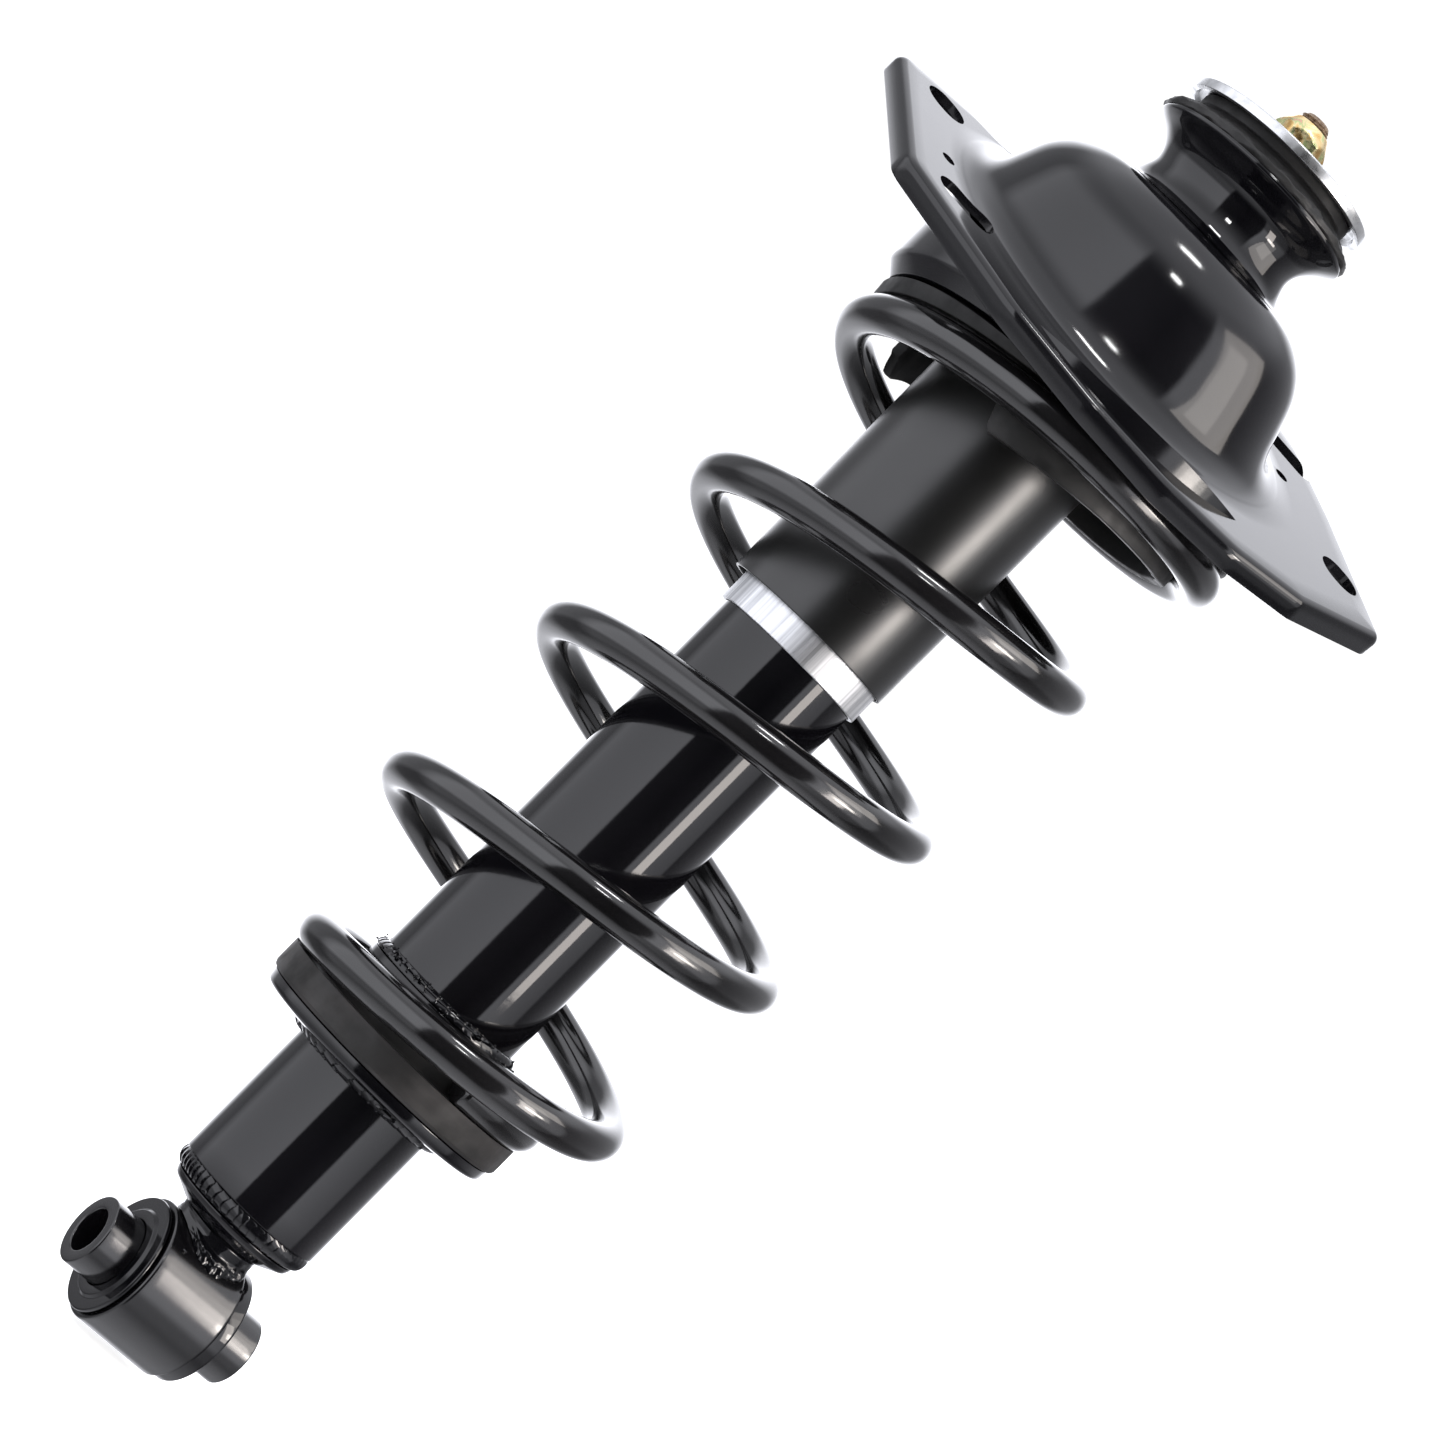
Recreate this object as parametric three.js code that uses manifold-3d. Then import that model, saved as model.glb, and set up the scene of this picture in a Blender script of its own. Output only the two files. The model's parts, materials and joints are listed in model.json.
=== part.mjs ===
// Rear suspension strut assembly: twin-tube damper, coil spring and stamped upper mount.
// Millimetres, +Z up along the piston rod, +X along the lower eye's bolt. The origin is where
// the rod's axis meets the top face of the upper mount's bolting flange.

import * as THREE from 'three';
import Module from 'manifold-3d';
import { mergeVertices } from 'three/addons/utils/BufferGeometryUtils.js';

// ---- driving dimensions ------------------------------------------------------------

const FIT_GAP = 0.3;            // clearance between pieces that touch on the real part

const FLANGE = { tilt: 23.5, roll: 4.4, thick: 3, rimDepth: 8.5, bend: 2.6, openingR: 72.5 };
const BOLT_SLOT = { length: 24, width: 13 };
const BOLT_HOLE = { length: 16.5, width: 15 };
const PILOT_HOLE_R = 2.7;

const NECK_WAIST_R = 29.6;
const NECK_LIP_R = 39.7;
const NECK_LIP_Z = 59.8;
const NECK_FOOT_Z = 37;
const NECK_WALL = 2.4;

const ROD_R = 7;
const ROD_BORE_R = 7.3;
const STUD_R = 5.8;
const STUD_BORE_R = 6.1;
const STUD_TOP_Z = 92.2;
const ROD_SHOULDER_Z = 22;
const ROD_FOOT_Z = -206;
const TOP_WASHER = { r: 37.5, z: 72.6, thick: 2 };
const NUT = { hexR: 10.6, flangeR: 12.6, height: 14 };

const SPRING = {
  wireR: 6.75, bottomZ: -322.1, topZ: -41, bottomR: 45.2, bodyR: 65.2, topR: 69.2,
  startDeg: -63, endDeg: 1936, bottomX: 1, topX: 9, lean: 1.6,
};

const UPPER_SEAT = { x: 9, r: 77.5, wall: 2.5, innerR: 54, isolator: 2.2, leftPad: 5 };
// Lip inside the top turn, from one end angle to the other, hanging below the wire's upper side.
const SEAT_LIP = { innerR: 57.2, outerR: 61.3, fromDeg: -111, toDeg: 157, depth: 21 };

const BUMP_STOP = {
  topZ: 21.8, rolls: 3, pitch: 13.6, firstZ: 7, firstR: 23, slimmer: 2.2, groove: 3.6,
};
const DUST_TUBE = { x: -1.2, topR: 33, bottomR: 32.3, wall: 1.1, topZ: 14, bottomZ: -143.6 };

const TUBE = { r: 27.5, wall: 2, topZ: -136.5, bottomZ: -399.3 };
const CAP = { r: 29.3, topZ: -134.4, bottomZ: -154 };
const PRESSURE_TUBE = { r: 16, wall: 1.5, bottomZ: -384 };
const GUIDE = { topZ: -138.9, bottomZ: -158 };

const LOWER_SEAT = {
  hubR: 30, hubTopZ: -311.5, panZ: -339.3, panR: 47.5, isolatorR: 49, collarTopZ: -321.7,
};

const BASE_WELD_Z = -405.4;
const STEM_R = 15.8;
const EYE = {
  z: -439.4, ringR: 23.5, ringWall: 3.5, ringEnds: [-14.1, 18.2], flangeR: 22, flangeFaces: [-19.6, 20.6],
};
// Angle about Z from the lower eye's bolt to the long direction of the upper mount.
const MOUNT_CLOCKING = -27;
const SLEEVE = { r: 12.75, bore: 8, length: 67.8 };

// Facets round a full turn, by the size and place of the piece.
const LARGE = 32;
const MEDIUM = 24;
const SMALL = 16;

const deg = THREE.MathUtils.degToRad;
const wasm = await Module();
wasm.setup();

// ---- materials ---------------------------------------------------------------------

const finish = (color, roughness, metalness) => ({ color, roughness, metalness });
const GLOSS_BLACK = finish(0x0c0c0e, 0.15, 0.0);
const SATIN_BLACK = finish(0x1a1a1a, 0.45, 0.0);
const RUBBER = finish(0x1c1c1c, 0.85, 0.0);
const ZINC = finish(0xc9ccd0, 0.35, 0.9);
const YELLOW_ZINC = finish(0xc8a45a, 0.4, 0.9);
const BARE_STEEL = finish(0x9a9a98, 0.4, 0.9);
const CHROME = finish(0xd8dadd, 0.1, 1.0);
const SINTERED = finish(0x6e6c68, 0.6, 0.8);
const FOAM = finish(0xd9c27a, 0.9, 0.0);
const BRONZE_PTFE = finish(0x7d5a3a, 0.5, 0.2);

// ---- geometry helpers --------------------------------------------------------------

const ramp = (value, from, to) => THREE.MathUtils.smoothstep(value, from, to);

// A bare, welded geometry whose faces point outwards.
function closed(geometry) {
  const bare = new THREE.BufferGeometry();
  bare.setAttribute('position', geometry.getAttribute('position').clone());
  if (geometry.index) bare.setIndex(geometry.index.clone());
  const welded = mergeVertices(bare, 1e-4);
  return signedVolume(welded) < 0 ? flipped(welded) : welded;
}

function signedVolume(geometry) {
  const position = geometry.getAttribute('position');
  const index = geometry.index;
  const [a, b, c] = [new THREE.Vector3(), new THREE.Vector3(), new THREE.Vector3()];
  let volume = 0;
  for (let i = 0; i < index.count; i += 3) {
    a.fromBufferAttribute(position, index.getX(i));
    b.fromBufferAttribute(position, index.getX(i + 1));
    c.fromBufferAttribute(position, index.getX(i + 2));
    volume += a.dot(b.cross(c)) / 6;
  }
  return volume;
}

function flipped(geometry) {
  const order = Array.from(geometry.index.array);
  for (let i = 0; i < order.length; i += 3) {
    [order[i], order[i + 1]] = [order[i + 1], order[i]];
  }
  geometry.setIndex(order);
  return geometry;
}

// Solid of revolution about Z from a closed ring of [radius, z] points.
function turned(profile, segments = MEDIUM) {
  const points = profile.map(([r, z]) => new THREE.Vector2(r, z));
  const onAxis = profile[0][0] === 0 && profile[profile.length - 1][0] === 0;
  if (!onAxis) points.push(points[0].clone());
  return closed(new THREE.LatheGeometry(points, segments).rotateX(Math.PI / 2));
}

// Plain ring or tube between two radii and two heights.
function ring(innerR, outerR, lowZ, highZ, segments = MEDIUM) {
  return turned([[innerR, lowZ], [outerR, lowZ], [outerR, highZ], [innerR, highZ]], segments);
}

function toManifold(geometry) {
  const source = closed(geometry);
  return new wasm.Manifold(new wasm.Mesh({
    numProp: 3,
    vertProperties: new Float32Array(source.getAttribute('position').array),
    triVerts: new Uint32Array(source.index.array),
  }));
}

function fromManifold(solid) {
  const mesh = solid.getMesh();
  const geometry = new THREE.BufferGeometry();
  geometry.setAttribute('position', new THREE.BufferAttribute(mesh.vertProperties, 3));
  geometry.setIndex(new THREE.BufferAttribute(mesh.triVerts, 1));
  return geometry;
}

function cut(geometry, ...tools) {
  let solid = toManifold(geometry);
  for (const tool of tools) solid = solid.subtract(toManifold(tool));
  return fromManifold(solid);
}

function joined(...pieces) {
  return fromManifold(pieces.map(toManifold).reduce((all, piece) => all.add(piece)));
}

// Closed outline through corner points [x, y, radius], each corner rounded by its own radius.
function roundedOutline(corners) {
  const shape = new THREE.Shape();
  const count = corners.length;
  corners.forEach(([x, y, radius], i) => {
    const here = new THREE.Vector2(x, y);
    const before = new THREE.Vector2(...corners[(i + count - 1) % count].slice(0, 2));
    const after = new THREE.Vector2(...corners[(i + 1) % count].slice(0, 2));
    const trim = Math.min(radius, here.distanceTo(before) * 0.45, here.distanceTo(after) * 0.45);
    const enter = here.clone().add(before.sub(here).setLength(trim));
    const leave = here.clone().add(after.sub(here).setLength(trim));
    if (i === 0) shape.moveTo(enter.x, enter.y);
    else shape.lineTo(enter.x, enter.y);
    shape.quadraticCurveTo(here.x, here.y, leave.x, leave.y);
  });
  shape.closePath();
  return shape;
}

function slotShape(x, y, length, width) {
  const half = Math.max(length - width, 0) / 2;
  const shape = new THREE.Shape();
  shape.absarc(x + half, y, width / 2, -Math.PI / 2, Math.PI / 2);
  shape.absarc(x - half, y, width / 2, Math.PI / 2, Math.PI * 1.5);
  shape.closePath();
  return shape;
}

function extruded(shape, depth, curveSegments = 4, extra = {}) {
  return new THREE.ExtrudeGeometry(shape, { depth, curveSegments, bevelEnabled: false, ...extra });
}

const strut = new THREE.Group();
const clocked = new THREE.Group();
clocked.rotation.z = deg(MOUNT_CLOCKING);
strut.add(clocked);

function addPiece(name, geometry, look, parent = clocked) {
  const mesh = new THREE.Mesh(closed(geometry), new THREE.MeshStandardMaterial(look));
  mesh.name = name;
  parent.add(mesh);
}

// ---- upper mount: stamped flange with a wedge-shaped dome ---------------------------

const flangeTurn = new THREE.Matrix4().makeRotationX(deg(FLANGE.tilt));
flangeTurn.multiply(new THREE.Matrix4().makeRotationY(deg(FLANGE.roll)));

// Height of the flange's top plane over a point of the horizontal plane.
const flangeRise = (x, y) => y * Math.tan(deg(FLANGE.tilt))
  - x * Math.tan(deg(FLANGE.roll)) / Math.cos(deg(FLANGE.tilt));

const FLANGE_CORNERS = [
  [-115, 19, 7], [-83, -64, 12], [-27, -86, 24], [12, -91, 20], [45, -89, 20], [76, -78, 20],
  [103, -57, 12], [133, -14, 6], [97, 41, 20], [74, 70, 12], [38, 86, 20], [0, 90, 20],
  [-38, 82, 20], [-58, 60, 14], [-68, 39, 12], [-84, 36.5, 14],
];
const BOLT_HOLES = [
  { x: -90.8, y: 15.4, ...BOLT_HOLE }, { x: 108.8, y: -1.2, ...BOLT_HOLE },
  { x: -60.3, y: -51.1, ...BOLT_SLOT }, { x: 71.7, y: 55.6, ...BOLT_SLOT },
];
const PILOT_HOLES = [[-75.5, -29.8], [73.8, 29]];

function flangePan() {
  const { bend, rimDepth, thick } = FLANGE;
  const outer = extruded(roundedOutline(insetCorners(bend)), rimDepth - bend, 3, {
    bevelEnabled: true, bevelSize: bend, bevelThickness: bend, bevelSegments: 2,
  }).translate(0, 0, -rimDepth);
  const trimBelow = new THREE.BoxGeometry(400, 400, 20).translate(0, 0, -rimDepth - 10);
  const inner = extruded(roundedOutline(insetCorners(thick + 0.6)), 20, 3)
    .translate(0, 0, -thick - 20);
  const holes = BOLT_HOLES.map(({ x, y, length, width }) =>
    extruded(slotShape(x, y, length, width), 12).translate(0, 0, -8));
  const pilots = PILOT_HOLES.map(([x, y]) =>
    new THREE.CylinderGeometry(PILOT_HOLE_R, PILOT_HOLE_R, 12, 8).rotateX(Math.PI / 2).translate(x, y, 0));
  return cut(outer, trimBelow, inner, ...holes, ...pilots);
}

// The flange corners moved inwards by a distance along the bisector of each corner.
function insetCorners(distance) {
  const count = FLANGE_CORNERS.length;
  return FLANGE_CORNERS.map(([x, y, radius], i) => {
    const [px, py] = FLANGE_CORNERS[(i + count - 1) % count];
    const [nx, ny] = FLANGE_CORNERS[(i + 1) % count];
    const inA = new THREE.Vector2(py - y, x - px).normalize();
    const inB = new THREE.Vector2(y - ny, nx - x).normalize();
    const bisector = inA.clone().add(inB);
    bisector.multiplyScalar(distance / (1 + inA.dot(inB)));
    return [x + bisector.x, y + bisector.y, radius];
  });
}

// Outer outline of the dome as [radius, height, flange share, depth share]: the share says
// how far the ring leans with the flange, the depth share how oval the ring is.
const DOME_TOP_SHARE = 0.3;
const DOME_SEGMENTS = 36;
const DOME_FOOT_DEPTH = 0.86;
const DOME_RINGS = [
  [32, NECK_FOOT_Z, DOME_TOP_SHARE, 1], [39, 36.7, DOME_TOP_SHARE, 1],
  [44.5, 35.6, 0.33, 0.97], [50, 32.6, 0.38, 0.94],
  [54.5, 28.6, 0.45, 0.92], [58.4, 22.8, 0.55, 0.9], [61.6, 14.5, 0.7, 0.88], [64, 8, 0.85, 0.87],
  [66.8, 3.8, 0.95, 0.865], [71, 1.2, 1, DOME_FOOT_DEPTH], [77, 0, 1, DOME_FOOT_DEPTH],
];

function domeShell() {
  const inner = DOME_RINGS.map(([r, z, share, depth], i) => {
    const [ra, za] = DOME_RINGS[Math.max(i - 1, 0)];
    const [rb, zb] = DOME_RINGS[Math.min(i + 1, DOME_RINGS.length - 1)];
    const length = Math.hypot(rb - ra, zb - za);
    const inwardR = (zb - za) / length;
    const inwardZ = -(rb - ra) / length;
    return [r + inwardR * FLANGE.thick, z + inwardZ * FLANGE.thick, share, depth];
  });
  const rings = [...DOME_RINGS, ...inner.reverse()];
  const profile = rings.map(([r, z]) => new THREE.Vector2(r, z));
  profile.push(profile[0].clone());
  const shell = new THREE.LatheGeometry(profile, DOME_SEGMENTS).rotateX(Math.PI / 2);
  const position = shell.getAttribute('position');
  for (let i = 0; i < position.count; i += 1) {
    const [, , share, depth] = rings[(i % profile.length) % rings.length];
    const x = position.getX(i);
    const y = position.getY(i) * depth;
    position.setXYZ(i, x, y, position.getZ(i) + share * flangeRise(x, y));
  }
  return shell;
}

function flangeOpening() {
  const { openingR, tilt } = FLANGE;
  return new THREE.CylinderGeometry(openingR, openingR, 30, DOME_SEGMENTS).rotateX(Math.PI / 2)
    .scale(1, DOME_FOOT_DEPTH / Math.cos(deg(tilt)), 1);
}

const flange = cut(flangePan(), flangeOpening()).applyMatrix4(flangeTurn);
addPiece('mount_plate', joined(flange, domeShell()), GLOSS_BLACK);

// ---- neck cup, rubber bush and clamp parts ------------------------------------------

const neckOuter = [
  [33.8, NECK_FOOT_Z + 0.4], [31.2, 41], [NECK_WAIST_R, 46.4], [30.6, 51], [34, 55.2], [38.4, 58],
  [NECK_LIP_R, NECK_LIP_Z - 0.6], [NECK_LIP_R, NECK_LIP_Z + 0.6],
];
const neckInner = [
  [37.6, NECK_LIP_Z + 0.6], [33, 57.6], [28.6, 52.6], [NECK_WAIST_R - NECK_WALL, 46.4],
  [28.2, 41], [29.4, NECK_FOOT_Z + 0.4], [29.4, 30.5], [31.4, 30.5], [31.5, NECK_FOOT_Z + 0.4],
];

// The foot of the neck leans with the dome's top, and its waist and lip stay square to the rod.
function neckCup() {
  const cup = turned([...neckOuter, ...neckInner], MEDIUM);
  const position = cup.getAttribute('position');
  for (let i = 0; i < position.count; i += 1) {
    const z = position.getZ(i);
    const lean = DOME_TOP_SHARE * (1 - ramp(z, NECK_FOOT_Z + 1, 48));
    position.setZ(i, z + lean * flangeRise(position.getX(i), position.getY(i)));
  }
  return cup;
}

addPiece('neck_cup', neckCup(), GLOSS_BLACK);

addPiece('upper_bush', turned([
  [8.6, 53.2], [27, 53.2], [31.4, 58.4], [36.6, 61], [39.4, 60.6], [40, 61.4], [39.8, 62.8],
  [33.4, 66.6], [32, 68], [32, TOP_WASHER.z - FIT_GAP], [8.6, TOP_WASHER.z - FIT_GAP],
]), RUBBER);

addPiece('lower_bush', turned([
  [8.6, 27.1], [22.8, 27.1], [25.2, 28.9], [27.6, 32], [27.9, 37], [26.8, 41], [26, 46.4],
  [26.6, 50.6], [26, 52.6], [8.6, 52.6],
]), RUBBER);

addPiece('bush_sleeve', ring(STUD_BORE_R, 8.2, 27, TOP_WASHER.z - FIT_GAP, SMALL), BARE_STEEL);

addPiece('lower_washer', turned([
  [STUD_BORE_R, 24.4], [24, 24.4], [28, 26.4], [28, 28.4], [26.8, 28.4], [23.2, 26.7],
  [STUD_BORE_R, 26.7],
], SMALL), BARE_STEEL);

addPiece('upper_washer', turned([
  [STUD_BORE_R, TOP_WASHER.z], [34.6, TOP_WASHER.z], [35.8, TOP_WASHER.z - 1.6],
  [TOP_WASHER.r, TOP_WASHER.z - 1.6], [TOP_WASHER.r, TOP_WASHER.z + 1],
  [TOP_WASHER.r - 1, TOP_WASHER.z + TOP_WASHER.thick],
  [STUD_BORE_R, TOP_WASHER.z + TOP_WASHER.thick],
], LARGE), ZINC);

function flangeNut() {
  const baseZ = TOP_WASHER.z + TOP_WASHER.thick + FIT_GAP;
  const flangeFoot = turned([[STUD_BORE_R, baseZ], [NUT.flangeR, baseZ], [NUT.flangeR, baseZ + 1.2],
    [NUT.hexR - 1, baseZ + 3.4], [STUD_BORE_R, baseZ + 3.4]], SMALL);
  const hex = new THREE.CylinderGeometry(NUT.hexR, NUT.hexR, NUT.height - 1, 6)
    .rotateX(Math.PI / 2).rotateZ(Math.PI / 6).translate(0, 0, baseZ + 1 + (NUT.height - 1) / 2);
  const chamfer = turned([[0, baseZ - 1], [NUT.hexR + 3, baseZ - 1], [NUT.hexR + 1.5, baseZ + 8],
    [7, baseZ + NUT.height], [0, baseZ + NUT.height]], SMALL);
  const body = toManifold(hex).intersect(toManifold(chamfer)).add(toManifold(flangeFoot));
  const core = new THREE.CylinderGeometry(STUD_BORE_R, STUD_BORE_R, 40, SMALL).rotateX(Math.PI / 2)
    .translate(0, 0, baseZ + 10);
  return fromManifold(body.subtract(toManifold(core)));
}

addPiece('rod_nut', flangeNut(), YELLOW_ZINC);

// ---- piston rod and piston ------------------------------------------------------------

addPiece('piston_rod', turned([
  [0, ROD_FOOT_Z], [3.2, ROD_FOOT_Z], [3.2, -184], [ROD_R, -183.4], [ROD_R, -176.4], [6.2, -176.2],
  [6.2, -174.4], [ROD_R, -174.2], [ROD_R, ROD_SHOULDER_Z], [STUD_R, ROD_SHOULDER_Z],
  [STUD_R, STUD_TOP_Z - 1.2], [STUD_R - 1.2, STUD_TOP_Z], [0, STUD_TOP_Z],
], SMALL), CHROME);

const PISTON = { topZ: -186.5, bottomZ: -199.5, r: 14.1 };
addPiece('piston', turned([
  [3.5, PISTON.bottomZ], [12.4, PISTON.bottomZ], [12.4, PISTON.bottomZ + 2.4], [13.1, PISTON.bottomZ + 2.4],
  [13.1, PISTON.topZ - 2.6], [12.4, PISTON.topZ - 2.6], [12.4, PISTON.topZ], [3.5, PISTON.topZ],
], SMALL), SINTERED);
addPiece('piston_band', ring(13.4, PISTON.r, PISTON.bottomZ + 2.6, PISTON.topZ - 2.8, SMALL), BRONZE_PTFE);
addPiece('intake_valve_disc', ring(3.5, 11.5, PISTON.topZ + 0.3, PISTON.topZ + 1.1, SMALL), BARE_STEEL);
addPiece('rebound_valve_discs', ring(3.5, 10.5, PISTON.bottomZ - 1.9, PISTON.bottomZ - 0.3, SMALL), BARE_STEEL);

function pistonNut() {
  const hex = new THREE.CylinderGeometry(6.4, 6.4, 4.2, 6).rotateX(Math.PI / 2)
    .translate(0, 0, PISTON.bottomZ - 4.3);
  const hole = new THREE.CylinderGeometry(3.5, 3.5, 12, SMALL).rotateX(Math.PI / 2)
    .translate(0, 0, PISTON.bottomZ - 4.3);
  return cut(hex, hole);
}
addPiece('piston_nut', pistonNut(), BARE_STEEL);

addPiece('rebound_stop_ring', turned([
  [6.5, -176], [9.5, -176], [10.5, -175.4], [9.5, -174.6], [6.5, -174.6],
], SMALL), BARE_STEEL);
addPiece('rebound_bumper', turned([
  [ROD_BORE_R, -174.2], [10.6, -174.2], [11.6, -170.6], [10.8, -166.2], [ROD_BORE_R, -166.2],
], SMALL), RUBBER);

// ---- bump stop and dust tube ------------------------------------------------------------

addPiece('bump_stop_cup', turned([
  [STUD_BORE_R, 24.1], [27.2, 24.1], [27.2, 10], [25.4, 10], [25.4, ROD_SHOULDER_Z + 0.3],
  [STUD_BORE_R, ROD_SHOULDER_Z + 0.3],
], SMALL), BARE_STEEL);

// Foam stop with necked rolls that get slimmer towards its free end.
function bumpStopProfile() {
  const { rolls, pitch, firstZ, firstR, slimmer, groove } = BUMP_STOP;
  const outline = [[7.4, BUMP_STOP.topZ], [24.8, BUMP_STOP.topZ], [24.8, firstZ + 1]];
  for (let i = 0; i < rolls; i += 1) {
    const z = firstZ - i * pitch;
    const r = firstR - i * slimmer;
    outline.push([r - groove, z], [r, z - 4.4], [r, z - 8.6], [r - groove, z - 12.4]);
  }
  const [lastR, lastZ] = outline[outline.length - 1];
  outline.push([lastR - 4, lastZ - 2.6], [7.6, lastZ - 2.6]);
  return outline;
}
addPiece('bump_stop', turned(bumpStopProfile(), SMALL), FOAM);

addPiece('dust_tube', turned([
  [DUST_TUBE.bottomR, DUST_TUBE.bottomZ], [DUST_TUBE.topR, -54], [DUST_TUBE.topR, DUST_TUBE.topZ],
  [28.8, DUST_TUBE.topZ], [28.8, DUST_TUBE.topZ - 1.4],
  [DUST_TUBE.topR - DUST_TUBE.wall, DUST_TUBE.topZ - 1.4], [DUST_TUBE.topR - DUST_TUBE.wall, -54],
  [DUST_TUBE.bottomR - DUST_TUBE.wall, DUST_TUBE.bottomZ],
], LARGE).translate(DUST_TUBE.x, 0, 0), SATIN_BLACK);

// ---- coil spring ------------------------------------------------------------------------

const springLean = Math.tan(deg(SPRING.lean));

// Wire centre line: closed ends, a tapered bottom turn and a body that leans with its axis.
class CoilPath extends THREE.Curve {
  constructor() {
    super();
    this.steps = 400;
    this.heights = this.integrateHeights();
  }

  // Height along the wire, from a pitch that fades out over both seated ends.
  integrateHeights() {
    const share = (t) => {
      const angle = THREE.MathUtils.lerp(SPRING.startDeg, SPRING.endDeg, t);
      return ramp(angle, 150, 380) * (1 - ramp(angle, 1600, 1860));
    };
    const sums = [0];
    for (let i = 1; i <= this.steps; i += 1) {
      sums.push(sums[i - 1] + share((i - 0.5) / this.steps));
    }
    return sums.map((sum) => sum / sums[this.steps]);
  }

  heightShare(t) {
    const place = THREE.MathUtils.clamp(t, 0, 1) * this.steps;
    const low = Math.min(Math.floor(place), this.steps - 1);
    return THREE.MathUtils.lerp(this.heights[low], this.heights[low + 1], place - low);
  }

  getPoint(t, target = new THREE.Vector3()) {
    const angle = THREE.MathUtils.lerp(SPRING.startDeg, SPRING.endDeg, t);
    const share = this.heightShare(t);
    const opened = THREE.MathUtils.lerp(SPRING.bottomR, SPRING.bodyR, ramp(angle, 130, 370));
    const radius = THREE.MathUtils.lerp(opened, SPRING.topR, ramp(angle, 1400, 1640));
    const leanShare = ramp(angle, 150, 380);
    const x = radius * Math.cos(deg(angle));
    const y = radius * Math.sin(deg(angle));
    const centreX = THREE.MathUtils.lerp(SPRING.bottomX, SPRING.topX, share);
    const z = THREE.MathUtils.lerp(SPRING.bottomZ, SPRING.topZ, share) - x * springLean * leanShare;
    return target.set(centreX + x, y, z);
  }
}

const wireSection = new THREE.Shape().absarc(0, 0, SPRING.wireR, 0, Math.PI * 2);
const coilPath = new CoilPath();
addPiece('coil_spring', new THREE.ExtrudeGeometry(wireSection, {
  steps: 96, curveSegments: 4, bevelEnabled: false, extrudePath: coilPath,
}), GLOSS_BLACK);

// ---- upper spring seat and isolator -------------------------------------------------------

// Height of the wire's upper side in the last turn, by direction round the spring's axis.
// Past the wire's end the seat steps down to where the same turn began.
function seatHeight(around) {
  const stepFrom = 139;
  const stepTo = 185;
  const wireTop = (angle) => {
    const share = (angle - SPRING.startDeg) / (SPRING.endDeg - SPRING.startDeg);
    return coilPath.getPoint(Math.min(share, 1)).z + SPRING.wireR;
  };
  if (around >= stepTo) return wireTop(1440 + around);
  if (around <= stepFrom) return wireTop(1800 + around);
  const blend = ramp(around, stepFrom, stepTo);
  return THREE.MathUtils.lerp(wireTop(1800 + stepFrom), wireTop(1440 + stepTo), blend);
}

// Moves the vertices below a height onto the seat's ramp, adds the pad's extra thickness to those
// above the pad's underside, and stands the ring on the spring's axis.
function rampedRing(profile, { movesBelow, padAbove }) {
  const seatRing = turned(profile, LARGE);
  const position = seatRing.getAttribute('position');
  for (let i = 0; i < position.count; i += 1) {
    const z = position.getZ(i);
    const around = Math.atan2(position.getY(i), position.getX(i));
    const turn = THREE.MathUtils.euclideanModulo(around / deg(1), 360);
    const pad = z > padAbove ? UPPER_SEAT.leftPad * Math.max(-Math.cos(around), 0) : 0;
    if (z < movesBelow) position.setZ(i, z + seatHeight(turn) + pad);
  }
  return seatRing.translate(UPPER_SEAT.x, 0, 0);
}

// The seat is a drum whose top is trimmed to the leaning underside of the flange.
function upperSeat() {
  const { r, wall, innerR, isolator } = UPPER_SEAT;
  const floor = isolator + 1.8;
  const top = 90;
  const drum = rampedRing([
    [innerR, floor], [r - 6, floor], [r - 2, floor + 1.6], [r, floor + 6],
    [r, top], [r - wall, top], [r - wall, floor + 6.4], [r - wall - 1.4, floor + 3.6],
    [r - 6.6, floor + 2], [innerR, floor + 2],
  ], { movesBelow: 50, padAbove: 0 });
  const above = new THREE.BoxGeometry(400, 400, 200).translate(0, 0, 100 - FLANGE.thick - FIT_GAP)
    .applyMatrix4(flangeTurn);
  return fromManifold(toManifold(drum).subtract(toManifold(above)));
}
addPiece('upper_spring_seat', upperSeat(), GLOSS_BLACK);

// Pad above the wire, with a lip inside the turn that is left open on the left.
function upperIsolator() {
  const { innerR, outerR, depth, fromDeg, toDeg } = SEAT_LIP;
  const { x, r, isolator } = UPPER_SEAT;
  const pad = rampedRing([
    [innerR, 0.7], [r - 5.2, 0.7], [r - 4.4, isolator], [r - 6.2, isolator + 0.7],
    [innerR, isolator + 0.7],
  ], { movesBelow: 50, padAbove: 1.5 });
  const lip = rampedRing([
    [innerR, -depth], [outerR, -depth], [outerR, 1.6], [innerR, 1.6],
  ], { movesBelow: 50, padAbove: 1.5 });
  const gap = new THREE.Shape();
  gap.absarc(0, 0, outerR + 20, deg(toDeg), deg(fromDeg + 360));
  gap.lineTo(0, 0);
  const open = extruded(gap, 200, 8).translate(x, 0, -150);
  return joined(pad, cut(lip, open));
}
addPiece('upper_isolator', upperIsolator(), RUBBER);

// ---- damper body: tube, cap, guide and valves -----------------------------------------------

addPiece('outer_tube', turned([
  [TUBE.r, TUBE.bottomZ], [TUBE.r, TUBE.topZ - 1], [TUBE.r - 1, TUBE.topZ], [19, TUBE.topZ],
  [19, TUBE.topZ - TUBE.wall], [TUBE.r - TUBE.wall, TUBE.topZ - TUBE.wall],
  [TUBE.r - TUBE.wall, TUBE.bottomZ],
], LARGE), GLOSS_BLACK);

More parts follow.
